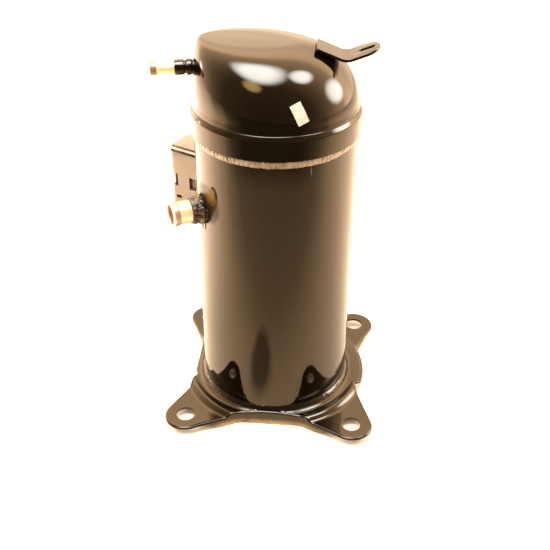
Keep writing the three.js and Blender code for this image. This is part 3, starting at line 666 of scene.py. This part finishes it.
def top_cap():
    segments = 256
    skirt = rounded([
        (SKIRT_R, SKIRT_BOTTOM, 0), (SKIRT_R, SHOULDER_Z + 4, 4.6),
        (SKIRT_R - 2.6, SHOULDER_Z + 8.6, 2.6), (DOME_R - 0.5, SHOULDER_Z + 8.9, 1.1),
        (DOME_R, DOME_BASE_Z, 0)], closed=False, step=9)
    skirt = [(SKIRT_R - 0.8, SKIRT_BOTTOM), (SKIRT_R, SKIRT_BOTTOM + 0.8)] + skirt[1:-1]
    angles = [2 * pi * j / segments for j in range(segments)]
    verts = [polar(r, a, z) for r, z in skirt for a in angles]
    climb = 44
    for i in range(1, climb + 1):
        verts += [dome_point(a, i / climb) for a in angles]
    crown_rows = 10
    cx, cy = DOME_TOP["x"], DOME_TOP["y"]
    for i in range(1, crown_rows):
        k = 1 - i / crown_rows
        for a in angles:
            x, y, z = dome_point(a, 1)
            verts.append((lerp(cx, x, k), lerp(cy, y, k), z + DOME_TOP["crown"] * (1 - k * k) ** 2))
    rows = len(skirt) + climb + crown_rows - 1
    faces = grid_faces(rows, segments)
    verts.append((cx, cy, DOME_TOP_Z))
    last = (rows - 1) * segments
    faces += [(last + j, last + (j + 1) % segments, len(verts) - 1) for j in range(segments)]
    cap = piece("dome_cap", verts, faces, ENAMEL, replaces=["top_cap"])
    return solidify(cap, CAP_SHEET, even=False)


CAP = top_cap()


# ---- Girth weld and base weld ----
def lumpy(seed, scale, amount):
    def wobble(a, r, z):
        p = Vector((r * cos(a) / scale, r * sin(a) / scale, z / scale + seed))
        d = noise.fractal(p, 1, 2, 3)
        e = noise.fractal(p * 1.7 + Vector((9.1, 3.3, 7.7)), 1, 2, 2)
        return amount * d, amount * 0.8 * e
    return wobble


def girth_weld():
    """The bead under the cap's skirt: full and rippled in front, low and smooth behind."""
    middle, ripples = 331, 118

    def wobble(a, r, z):
        facing = 0.5 - 0.5 * sin(a + 0.08)
        swell = 0.42 + 0.66 * smoothstep(0.55, 0.95, facing)
        dr, dz = lumpy(2, 5, 0.55)(a, r, z)
        bead = 0.18 * sin(a * ripples + 2 * sin(a * 9))
        lift = r - SHELL_R
        low = 0.7 * (1 - swell) * max(middle - z, 0)
        return (dr + bead) * min(lift, 1) * swell - (1 - swell) * lift * 0.5, dz * swell + low

    profile = [(SHELL_R - 0.2, 326.9), (SHELL_R + 0.7, 327.4), (SHELL_R + 1.6, 328.6),
               (SHELL_R + 2.2, 330.3), (SHELL_R + 2.55, 332.2), (SHELL_R + 2.6, 333.8),
               (SHELL_R + 2.2, 335), (SHELL_R - 0.2, 335.6)]
    verts, faces = revolved(profile, 900, wobble=wobble)
    piece("girth_bead", verts, faces, WELD, slot="weld", replaces=["girth_weld"], crease=70)


def base_weld():
    profile = [(SHELL_R - 0.3, 16.8), (SHELL_R + 3.6, 16.9), (SHELL_R + 3.2, 18.6),
               (SHELL_R + 1.8, 20.3), (SHELL_R + 0.6, 22.2), (SHELL_R - 0.3, 22.9)]
    verts, faces = revolved(profile, 640, wobble=lumpy(11, 6, 0.32))
    piece("base_bead", verts, faces, ENAMEL, crease=70)


girth_weld()
base_weld()


# ---- Base plate ----
def touch(point, centre, side):
    """Angle on a foot's tip circle where a line from the point touches it."""
    dx, dy = point[0] - centre[0], point[1] - centre[1]
    return atan2(dy, dx) + side * acos(FOOT_TIP_R / hypot(dx, dy))


def foot_tip(centre, before, after):
    """The round end of a foot, between the corners before and after it."""
    a0, a1 = touch(before, centre, 1), touch(after, centre, -1)
    while a1 < a0:
        a1 += 2 * pi
    steps = 30
    turns = [lerp(a0, a1, k / steps) for k in range(steps + 1)]
    return [(centre[0] + FOOT_TIP_R * cos(a), centre[1] + FOOT_TIP_R * sin(a), 0) for a in turns]


def plate_outline():
    """The plate's outline as evenly spaced points, counter-clockwise from the front."""
    edges = [       # corner radius, corners, and the foot that comes next
        (26, [(-33, -91.5), (37, -91.5)], (1, -1)),
        (3, [(100.2, -36), (98, -29), (103.2, -25.5)], None),
        (3, [(103.5, 35.5), (97.2, 41.5), (100.3, 50.5)], (1, 1)),
        (26, [(37, 91.5), (-33, 91.5)], (-1, 1)),
        (5, [(-96.4, 44.9), (-95.5, 37), (-95.5, -19), (-92.4, -26), (-96.8, -34), (-98.5, -47.2)],
         (-1, -1)),
    ]
    corners, bulge_r = [], 108
    for i, (radius, run, foot) in enumerate(edges):
        corners += [(x, y, radius) for x, y in run]
        if foot:
            following = edges[(i + 1) % len(edges)][1][0]
            corners += foot_tip((foot[0] * HALF_PITCH, foot[1] * HALF_PITCH), run[-1], following)
        else:
            corners += [(x, y, 0) for x, y in arc(0, 0, bulge_r, -12, 17.5)]
    line = rounded(corners, step=6)
    even, pitch = [], 1.25          # the pitch of the outline's points
    for p, q in pairs(line):
        count = max(1, round((q - p).length / pitch))
        even += [p.lerp(q, k / count) for k in range(count)]
    return even


def past_hole(p):
    """Distance from the nearest foot hole's centre."""
    return hypot(abs(p.x) - HALF_PITCH, abs(p.y) - HALF_PITCH)


def plate_height(r):
    """Height of the plate's top face at a distance from the axis."""
    step = 1 - smoothstep(102, 110.5, r)
    rim = 1.3 * exp(-((r - 89.4) / 1.3) ** 2)
    dish = -1.1 * smoothstep(91, 94.5, r) * (1 - smoothstep(97, 101.5, r))
    return PAD_TOP + (CROWN_TOP - PAD_TOP - 0.9) * step + rim + dish


def flange_depth(p):
    """How far the edge is turned down, from nothing at the foot tips to the floor."""
    on_bulge = p.x > 90 and -33 < p.y < 46
    return 0 if on_bulge else smoothstep(26, 44, past_hole(p))


def inset_outline(outline, distance):
    out = []
    for i, p in enumerate(outline):
        along = (outline[(i + 1) % len(outline)] - outline[i - 1]).normalized()
        out.append(p + Vector((-along.y, along.x)) * distance)
    return out


def deck_points(edge):
    """Points spread over the deck: rings round the crown and a loose net over the feet."""
    points = []
    for r in (86.5, 87.6, 88.4, 89.2, 90, 90.9, 92, 93.4, 95, 97, 99, 101, 102.4, 103.6,
              104.8, 106, 107.2, 108.4, 109.6, 111):
        points += circle(r, round(2 * pi * r / 2.2))
    net = [Vector((ix * 2.6 + (iy % 2) * 1.3, iy * 2.4)) for ix in range(-50, 51) for iy in range(-50, 51)]
    points += [p for p in net if p.length > 112.5]
    return [p for p in points if past_hole(p) >= FOOT_HOLE_R + 1.2 and inside(edge, p)
            and min((p - q).length for q in edge) > 1]


def inside(loop, p):
    """Whether a point lies inside a closed loop of points."""
    odd = False
    for a, b in pairs(loop):
        if (a.y > p.y) != (b.y > p.y) and p.x < (b.x - a.x) * (p.y - a.y) / (b.y - a.y) + a.x:
            odd = not odd
    return odd


def base_plate():
    outline = plate_outline()
    bend = 2.2
    edge = inset_outline(outline, bend)
    inner_r = SHELL_R - SHELL_WALL - 0.6
    loops = [edge, circle(inner_r, 240)]
    both = (-HALF_PITCH, HALF_PITCH)
    loops += [circle(FOOT_HOLE_R, 64, x, y) for x in both for y in both]
    points, cuts = [], []
    for loop in loops:
        cuts += pairs(list(range(len(points), len(points) + len(loop))))
        points += loop
    points += deck_points(edge)
    flat, _, triangles, _, _, _ = delaunay_2d_cdt(points, cuts, [], 0, 1e-5)
    verts = [(p.x, p.y, plate_height(p.length)) for p in flat]
    faces = []
    for tri in triangles:
        middle = sum((flat[k] for k in tri), Vector((0, 0))) / 3
        in_hole = past_hole(middle) < FOOT_HOLE_R - 0.02
        if middle.length > inner_r and not in_hole and inside(edge, middle):
            faces.append(tuple(tri))
    first, rows, turned = len(verts), 12, 5
    for k in range(rows):
        for p, q in zip(outline, edge):
            turn = min(k, turned) / turned * pi / 2
            out = (p - q) * sin(turn)
            z = plate_height(q.length) - bend * (1 - cos(turn))
            if k > turned:
                z = lerp(z, lerp(z - 0.5, 0, flange_depth(p)), (k - turned) / 6)
            verts.append((q.x + out.x, q.y + out.y, z))
    faces += grid_faces(rows, len(outline), first=first)
    plate = piece("foot_plate", verts, faces, FLOOR_ENAMEL, replaces=["base_plate"])
    solidify(plate, SHEET, crease=50, even=False)


base_plate()


# ---- Spuds and copper stubs ----
def turned_piece(name, corners, material, place, segments, wobble=None, **how):
    verts, faces = revolved(rounded(corners, step=12), segments, wobble=wobble)
    piece(name, verts, faces, material, place=place, **how)


def suction_joint():
    """The crusted collar on the shell and the copper stub brazed into it."""
    r, bore, tip = SUCTION["r"], SUCTION["bore"], SUCTION["tip"]
    turned_piece("suction_collar", [
        (bore - 0.6, 79, 0), (r, 79, 0), (r + 0.2, 83, 0), (r + 5.6, 83.6, 1.5), (r + 4.6, 88.6, 2.2),
        (r + 2.4, 91.6, 2), (r + 2.2, 95.6, 1.2), (r + 1.4, 99.2, 1), (r + 0.05, 99.4, 0),
        (bore - 0.6, 90.4, 0),
    ], BRAZING, SUCTION_PLACE, 160, lumpy(4, 2.3, 0.85), replaces=["suction_spud"], crease=60)
    turned_piece("suction_pipe", [
        (bore, 90.8, 0), (r, 90.8, 0), (r, 112.2, 1.5), (r + 0.75, 113.4, 0.8), (r + 0.75, tip - 0.6, 0.6),
        (r + 0.2, tip, 0.3), (bore, tip, 0.3),
    ], SUCTION_COPPER, SUCTION_PLACE, 128, slot="copper", replaces=["suction_stub"])


def discharge_joint():
    """The stepped collar and the thin copper stub in it."""
    r, bore, tip = DISCHARGE["r"], DISCHARGE["bore"], DISCHARGE["tip"]
    turned_piece("discharge_collar", [
        (4.4, 78, 0), (6.4, 78, 0), (6.5, 82.4, 0), (9.6, 82.6, 1), (8.2, 85.2, 1.4), (8.2, 89.4, 0.8),
        (6.7, 90.2, 0.7), (6.7, 91.4, 0.5), (7.8, 92.2, 0.7), (7.8, 101, 0.8), (6.6, 101.4, 0),
        (6.6, 95.6, 0), (4.4, 95.6, 0),
    ], ENAMEL, DISCHARGE_PLACE, 96, lumpy(7, 2.4, 0.16), replaces=["discharge_spud"], crease=60)
    turned_piece("discharge_pipe", [
        (bore, 96, 0), (r, 96, 0), (r, 118.4, 0.8), (r + 0.5, 119.4, 0.4), (r + 0.5, tip, 0.4),
        (bore, tip, 0.3),
    ], DISCHARGE_COPPER, DISCHARGE_PLACE, 96, slot="copper", replaces=["discharge_stub"])


suction_joint()
discharge_joint()


def paint_runs():
    """Runs of paint below the suction collar, lying on the shell."""
    runs = [(-7, 14, 6, 2.2), (0.5, 16, 8, 2), (7.5, 13, 9, 2.4)]
    verts, faces = [], []
    around, along = 10, 14
    for side, top, length, width in runs:
        first = len(verts)
        for i in range(along + 1):
            t = i / along
            w = width * (1 - 0.55 * t) * (1 if t < 0.8 else sqrt(max(1 - ((t - 0.8) / 0.2) ** 2, 0)))
            for j in range(around):
                a = 2 * pi * j / around
                x = side + w * cos(a)
                y = -top - length * t
                lift = 0.75 * w * sin(a)
                verts.append((x, y, sqrt(SHELL_R ** 2 - x * x) + lift * 0.6))
        faces += grid_faces(along + 1, around, first=first)
        faces.append(tuple(first + j for j in range(around)))
    piece("paint_runs", verts, faces, ENAMEL, place=SUCTION_PLACE, crease=80)


paint_runs()


# ---- Flat pressings from an outline ----
def pressing(name, outlines, depth, bevel):
    """A flat plate in the XY plane, 0 to depth in Z, from closed outlines in millimetres."""
    curve = bpy.data.curves.new(name, "CURVE")
    curve.dimensions = "2D"
    curve.fill_mode = "BOTH"
    curve.extrude = (depth / 2 - bevel) * MM
    curve.bevel_depth = bevel * MM
    curve.bevel_resolution = 2
    curve.offset = -bevel * MM
    for outline in outlines:
        spline = curve.splines.new("POLY")
        spline.points.add(len(outline) - 1)
        for point, p in zip(spline.points, outline):
            point.co = (p[0] * MM, p[1] * MM, 0, 1)
        spline.use_cyclic_u = True
    source = added(name, curve)
    mesh = evaluated(source)
    bpy.data.objects.remove(source)
    bpy.data.curves.remove(curve)
    mesh.transform(Matrix.Translation((0, 0, depth / 2 * MM)))
    mesh.name = name
    return mesh


def bracket():
    """The slotted strip: cut flat, then folded up at its middle."""
    b = BRACKET
    half, leg, corner = b["width"] / 2, b["leg"], 2.5
    strip = [(-leg + corner, -half), (0, -half)] + arc(b["arm"] - half, 0, half, -90, 90, 36) + [(0, half)]
    strip += arc(-leg + corner, half - corner, corner, 90, 180, 6)
    strip += arc(-leg + corner, -half + corner, corner, 180, 270, 6)[:-1]
    low, high, r = b["slot"]
    slot = arc(low + r, 0, r, 90, 270, 16) + arc(high - r, 0, r, -90, 90, 16)
    mesh = pressing("slotted_bracket", [strip, slot], b["thick"], 0.45)
    bm = bmesh.new()
    bm.from_mesh(mesh)
    bend_r = 17
    fall, rise = radians(b["fall"]), radians(b["rise"])
    arc_length = bend_r * (fall + rise)
    start = -arc_length / 2
    for k in range(13):
        x = (start + arc_length * k / 12) * MM
        bmesh.ops.bisect_plane(bm, geom=list(bm.verts) + list(bm.edges) + list(bm.faces),
                               plane_co=(x, 0, 0), plane_no=(1, 0, 0), dist=1e-7)
    for vert in bm.verts:
        x, y, z = vert.co / MM
        swept = min(max(x - start, 0), arc_length)
        along = x - start - swept
        angle = -fall + swept / bend_r
        px = bend_r * (sin(angle) + sin(fall)) + along * cos(angle) - z * sin(angle)
        pz = bend_r * (cos(fall) - cos(angle)) + along * sin(angle) + z * cos(angle)
        vert.co = Vector((px, y, pz)) * MM
    bm.to_mesh(mesh)
    bm.free()
    back = bend_r * tan((fall + rise) / 4)
    mesh.transform(Matrix.Translation(Vector((-back * cos(fall), 0, back * sin(fall))) * MM))
    mesh.transform(Matrix.Translation((b["x"] * MM, b["y"] * MM, b["z"] * MM))
                   @ Matrix.Rotation(radians(b["azimuth"]), 4, "Z"))
    settle("slotted_bracket", mesh, ENAMEL, replaces=["lifting_bracket"])


bracket()


# ---- Terminal box ----
def ring_rows(half, up, radius, steps):
    """Rounded rectangles along Z, one for each (depth, inset)."""
    rows = []
    for depth, inset in steps:
        r = max(radius - inset, 0.6)
        w, h = half - inset - r, up - inset - r
        row = []
        for cx, cy, a0 in ((w, h, 0), (-w, h, 90), (-w, -h, 180), (w, -h, 270)):
            row += arc(cx, cy, r, a0, a0 + 90, 10)
        rows.append([(x, y, depth) for x, y in row])
    return rows


def terminal_cover():
    """The deep drawn cover, with a notch, a window and a slit in its side."""
    half, back, front, edge = BOX["half"], BOX["back"], BOX["front"], 4
    steps = [(back, 0), (back + 6, 0), (front - 14, 0), (front - edge, 0)]
    for k in range(1, 9):
        a = k / 8 * pi / 2
        steps.append((front - edge + edge * sin(a), edge * (1 - cos(a))))
    steps += [(front, edge + 3), (front, edge + 8)]
    rows = ring_rows(half, BOX["up"], 6, steps)
    columns = len(rows[0])
    faces = grid_faces(len(rows), columns)
    faces.append(tuple((len(rows) - 1) * columns + j for j in range(columns)))
    cover = piece("box_cover", [v for row in rows for v in row], faces, SATIN, BOX_PLACE, body="cover",
                  replaces=["terminal_cover"])
    solidify(cover, 1.6)
    cuts = [box_mesh(half - 6, half + 6, *sides)
            for sides in ((-8, 8, front - 9, front + 6), (-8, 7, 94, 103), (-23, -19, 115, 122))]
    carve(cover, [(*c, BOX_PLACE) for c in cuts])


def cover_lip():
    """The folded edge that stands proud round the top of the cover."""
    w, up, r, lip = BOX["half"] + 1.5, BOX["up"] + 1.5, 7, 1.7
    outer = [(w, up - r)] + arc(w - r, up - r, r, 0, 90, 12) + arc(-w + r, up - r, r, 90, 180, 12)
    outer.append((-w, up - r))
    inner = [(-w + lip, up - r)] + arc(-w + r, up - r, r - lip, 180, 90, 12)
    inner += arc(w - r, up - r, r - lip, 90, 0, 12) + [(w - lip, up - r)]
    mesh = pressing("cover_lip", [outer + inner], BOX["front"] - BOX["back"] - 1.5, 0.6)
    mesh.transform(BOX_PLACE @ Matrix.Translation((0, 0, BOX["back"] * MM)))
    settle("cover_lip", mesh, ROLLED, body="cover")


def fence():
    """The wall round the terminal, its foot following the shell."""
    foot, top = ring_rows(BOX["half"] - 4, BOX["up"] - 5, 4, [(84.2, 0), (104, 0)])
    foot = [(x, y, sqrt((SHELL_R + 0.2) ** 2 - x * x)) for x, y, _ in foot]
    wall = piece("terminal_wall", foot + top, grid_faces(2, len(foot)), GRID, BOX_PLACE,
                 replaces=["terminal_fence"])
    solidify(wall, 2)


def screw():
    """The cover's washer-faced screw."""
    front = BOX["front"]
    head = rounded([(0.01, front + 0.3, 0), (4.6, front + 0.3, 0.2), (4.6, front + 1.2, 0.4),
                    (3.6, front + 1.3, 0.2), (3.5, front + 3.6, 0.6), (0.01, front + 4, 0)],
                   closed=False, step=15)
    verts, faces = revolved(head, 48, closed=False)
    piece("box_screw", verts, faces, STEEL, BOX_PLACE @ Matrix.Translation((0, 28 * MM, 0)),
          body="cover", slot="steel", replaces=["cover_screw"], crease=35)


terminal_cover()
cover_lip()
fence()
screw()

# ---- Relief valve spring ----
def relief_spring():
    """The coil under the relief plunger."""
    low, high = (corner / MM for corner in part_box("relief_spring"))
    wire, turns, around, steps = 0.5, 5, 10, 200
    coil = (high.x - low.x) / 2 - wire
    centre = (low + high) / 2
    verts = []
    for i in range(steps + 1):
        t = i / steps
        a = 2 * pi * turns * t
        z = lerp(low.z + wire, high.z - wire, t)
        for j in range(around):
            b = 2 * pi * j / around
            r = coil + wire * cos(b)
            verts.append((centre.x + r * cos(a), centre.y + r * sin(a), z + wire * sin(b)))
    faces = grid_faces(steps + 1, around)
    faces += [tuple(range(around - 1, -1, -1)), tuple(steps * around + j for j in range(around))]
    spring = piece("valve_spring", verts, faces, STEEL, slot="steel", replaces=["relief_spring"])
    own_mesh(spring)


relief_spring()


# ---- Label ----
LABEL = {"azimuth": -69.6, "z": 381, "width": 11.5, "height": 21, "tilt": 22}


def label():
    tree = BVHTree.FromPolygons([v.co for v in CAP.data.vertices],
                                [tuple(p.vertices) for p in CAP.data.polygons])
    a = radians(LABEL["azimuth"])
    outside = Vector(polar(0.3, a, LABEL["z"] * MM))
    centre, normal, _, _ = tree.ray_cast(outside, Vector(polar(-1, a, 0)))
    side = Vector((0, 0, 1)).cross(normal).normalized()
    up = normal.cross(side)
    tilt = radians(LABEL["tilt"])
    across = side * cos(tilt) + up * sin(tilt)
    along = up * cos(tilt) - side * sin(tilt)
    columns, rows = 9, 15
    verts = []
    for lift in (0.00012, 0.0004):
        for i in range(rows):
            for j in range(columns):
                u, v = j / (columns - 1) - 0.5, i / (rows - 1) - 0.5
                p = centre + (across * u * LABEL["width"] + along * v * LABEL["height"]) * MM
                hit, n, _, _ = tree.find_nearest(p)
                curl = 0.0005 * max(0, u + v - 0.72)
                verts.append((hit + n * (lift + curl)) / MM)
    faces = grid_faces(rows, columns, wrap=False)
    count = rows * columns
    faces += [tuple(count + k for k in f[::-1]) for f in faces]
    edge = list(range(columns)) + list(range(2 * columns - 1, count, columns))
    edge += list(range(count - 2, count - columns - 1, -1)) + list(range(count - 2 * columns, 0, -columns))
    faces += [(p, count + p, count + q, q) for p, q in pairs(edge)]
    piece("blank_label", verts, faces, PAPER, slot="black_plastic")


label()


def scratch():
    """A short scratch down the shell below the weld, with its burr."""
    top, bottom, width = 327.5, 312, 0.5
    a = atan2(-75.1, 40.6)
    verts, steps = [], 12
    for i in range(steps + 1):
        t = i / steps
        lean = a + 0.004 * sin(3 * t)
        w = width / SHELL_R * sin(pi * min(t + 0.08, 1)) ** 0.6
        for side, lift in ((-1, 0.05), (0, 0.3), (1, 0.05), (0, -0.2)):
            verts.append(polar(SHELL_R + lift, lean + side * w, lerp(top, bottom, t)))
    faces = grid_faces(steps + 1, 4) + [(0, 1, 2, 3), tuple(4 * steps + k for k in (3, 2, 1, 0))]
    piece("scratch", verts, faces, PLASTIC, slot="black_plastic")


scratch()


# ---- Stage, light and camera ----
def backdrop(name, verts, faces, material, height=0):
    """A surface of the studio, from points in metres."""
    mesh = bpy.data.meshes.new(name)
    mesh.from_pydata(verts, [], faces)
    mesh.materials.append(material)
    obj = added(name, mesh)
    obj.location = (0, 0, height)
    return obj


def stage():
    """A level floor that curves up far behind."""
    far, cove = 3.2, 1.2
    rise = [(y, 0) for y in (-far, 0, far - cove)]
    rise += [(far - cove + cove * sin(a * pi / 24), cove - cove * cos(a * pi / 24))
             for a in range(1, 13)]
    verts = [(x, y, z) for y, z in rise for x in (-far, far)]
    faces = [(2 * i, 2 * i + 1, 2 * i + 3, 2 * i + 2) for i in range(len(rise) - 1)]
    floor = backdrop("floor", verts, faces, floor_paint())


WARM = (1, 0.74, 0.5)


def softbox(name, place, target, size, radiance):
    """A rectangular lamp, given by the brightness of its face."""
    light = bpy.data.lights.new(name, "AREA")
    light.shape = "RECTANGLE"
    light.size, light.size_y = size
    light.energy = radiance * pi * size[0] * size[1]
    light.color = WARM
    lamp = added(name, light)
    lamp.location = place
    lamp.rotation_euler = (Vector(target) - Vector(place)).to_track_quat("-Z", "Y").to_euler()
    lamp.visible_camera = lamp.visible_glossy = False


def world():
    w = bpy.data.worlds.new("studio")
    bpy.context.scene.world = w
    w.use_nodes = True
    back = w.node_tree.nodes["Background"]
    back.inputs["Color"].default_value = (*WARM, 1)
    back.inputs["Strength"].default_value = 2.1


def mirror_only(obj):
    """Only reflections see the object: it lights nothing and casts no shadow."""
    obj.visible_camera = obj.visible_diffuse = obj.visible_shadow = False
    obj.visible_transmission = obj.visible_volume_scatter = False


def toward(azimuth, elevation):
    """A direction given from the front, positive to the left, and up."""
    a, e = radians(azimuth), radians(elevation)
    return (-sin(a) * cos(e), -cos(a) * cos(e), sin(e))


# Soft lamps as the enamel mirrors them: azimuth, elevation, core and edge half-angles, brightness.
LAMPS = [
    (30, 78.5, 1, 27, (24, 30, 41)),
    (-84, 61, 1.5, 14.5, (22, 27.5, 38)),
    (-100, 18.5, 1.5, 19, (17, 20, 25)),
    (25.5, 48, 1, 13, (8.6, 7.2, 3.2)),
    (108, 3, 1.5, 5.5, (9, 11, 14)),
]


def tent_light():
    """The room's brightness by direction, with the soft lamps added."""
    n = Nodes("tent_light")
    away = n.vector("NORMALIZE", n.place)
    axes = n.split(away)
    right = n.math("MAXIMUM", axes["X"], 0)
    back = n.math("ADD", axes["Y"], n.math("MULTIPLY", right, 0.15))
    level = [(-1, 0.2), (-0.45, 0.5), (-0.2, 1.3), (0, 2.4), (0.2, 4), (0.4, 5), (0.52, 8.3),
             (0.65, 7.4), (0.8, 4.6), (1, 3)]
    brightest = 8
    colours = [(0.5 + 0.5 * at, tuple(c * k / brightest for c in (1, 0.72, 0.48))) for at, k in level]
    glow = n.ramp(n.span(back, 0, 1, -1, 1), colours)
    total = n.vector("MULTIPLY", glow, (brightest,) * 3)
    for azimuth, elevation, core, edge, colour in LAMPS:
        facing = n.measure("DOT_PRODUCT", away, toward(azimuth, elevation))
        soft = n.span(facing, 0, 1, cos(radians(edge)), cos(radians(core)),
                      interpolation_type="SMOOTHERSTEP")
        total = n.vector("ADD", total, n.vector("MULTIPLY", soft, colour))
    return n.surface(n.add("Emission", Color=total, Strength=1))


def tent():
    """The room as reflections see it: dark behind the camera, bright at the back."""
    columns, rows, radius = 64, 33, 3
    verts = []
    for i in range(rows):
        e = pi * (i / (rows - 1) - 0.5)
        for j in range(columns):
            a = 2 * pi * j / columns
            verts.append(polar(radius * cos(e), a, radius * sin(e)))
    mirror_only(backdrop("tent", verts, grid_faces(rows, columns), tent_light(), 0.35))


# Brighter floor beside the shell in reflections: X where it starts and is full, Y start, colour.
SIDE_GLOW = [(-0.2, -0.5, -0.3, (2.9, 2, 1.6)), (0.2, 0.5, -0.2, (0.9, 0.5, 0.3))]


def shade():
    """Clear where the floor is bright; dim in front, with a dark spot; glowing at the sides."""
    n = Nodes("shade")
    axes = n.split(n.place)
    aside = n.math("MULTIPLY", n.math("ABSOLUTE", axes["X"]), 0.25)
    leftward = n.math("MULTIPLY", axes["X"], -0.1)
    depth = n.math("ADD", axes["Y"], n.math("ADD", aside, leftward))
    greys = [(0, 0.36), (0.3, 0.36), (0.5, 0.42), (0.6, 0.62), (0.74, 0.95), (0.85, 1)]
    dim = n.ramp(n.span(depth, 0, 1, -0.8, 0.2), [(at, (grey,) * 3) for at, grey in greys])
    away = n.measure("LENGTH", n.place)
    far_front = n.math("MULTIPLY", n.span(away, 0, 1, 0.64, 0.76),
                       n.span(n.math("DIVIDE", axes["Y"], away), 1, 0, -0.8, -0.45))
    clear = n.mix(far_front, dim, (0.05,) * 3)
    spot = n.measure("LENGTH", n.stretched(23.3, 15.4, 1, move=(0.93, 2.92, 0)))
    ragged = n.math("ADD", spot, n.span(n.noise(9, 4), -0.5, 0.5))
    clear = n.mix(n.span(ragged, 0.75, 0, 0.6, 1.15), clear, (0.02,) * 3)
    surface = n.add("BsdfTransparent", Color=clear)
    for start, end, low, colour in SIDE_GLOW:
        beside = n.math("MULTIPLY", n.span(axes["X"], 0, 1, start, end),
                        n.span(axes["Y"], 0, 1, low, low + 0.35))
        glow = n.add("Emission", Color=colour, Strength=beside)
        both = n.add("AddShader")
        n.combine(both, (surface.outputs[0], glow.outputs[0]))
        surface = both
    return n.surface(surface)


def shade_card():
    """A sheer card over the floor, seen only in reflections."""
    side = 3.1
    corners = [(-side, -side, 0), (side, -side, 0), (side, side, 0), (-side, side, 0)]
    mirror_only(backdrop("shade_card", corners, [(0, 1, 2, 3)], shade(), 0.0006))


def camera():
    azimuth, elevation, distance = -4.93, 33.86, 1.0312
    away = Vector(toward(azimuth, elevation))
    data = bpy.data.cameras.new("camera")
    data.sensor_width = 36
    data.lens = 58.57
    data.clip_end = 50
    obj = added("camera", data)
    obj.location = Vector((-0.0006, 0, 0.147)) + away * distance
    obj.rotation_mode = "QUATERNION"
    roll = Quaternion((0, 0, 1), radians(0.207))
    obj.rotation_quaternion = (-away).to_track_quat("-Z", "Y") @ roll
    bpy.context.scene.camera = obj


camera()
stage()
world()
tent()
shade_card()
softbox("overhead", (-0.17, -0.3, 1.75), (-0.03, -0.02, 0.4), (0.92, 0.95), 24)
softbox("side_right", (1.3, 0.35, 1.00), (0.45, 0.1, 0), (0.6, 0.55), 22)
softbox("side_left", (-1.2, 0.1, 1.05), (-0.45, 0, 0), (0.6, 0.6), 30)
scene = bpy.context.scene
scene.view_settings.view_transform = "Standard"
scene.cycles.use_denoising = True
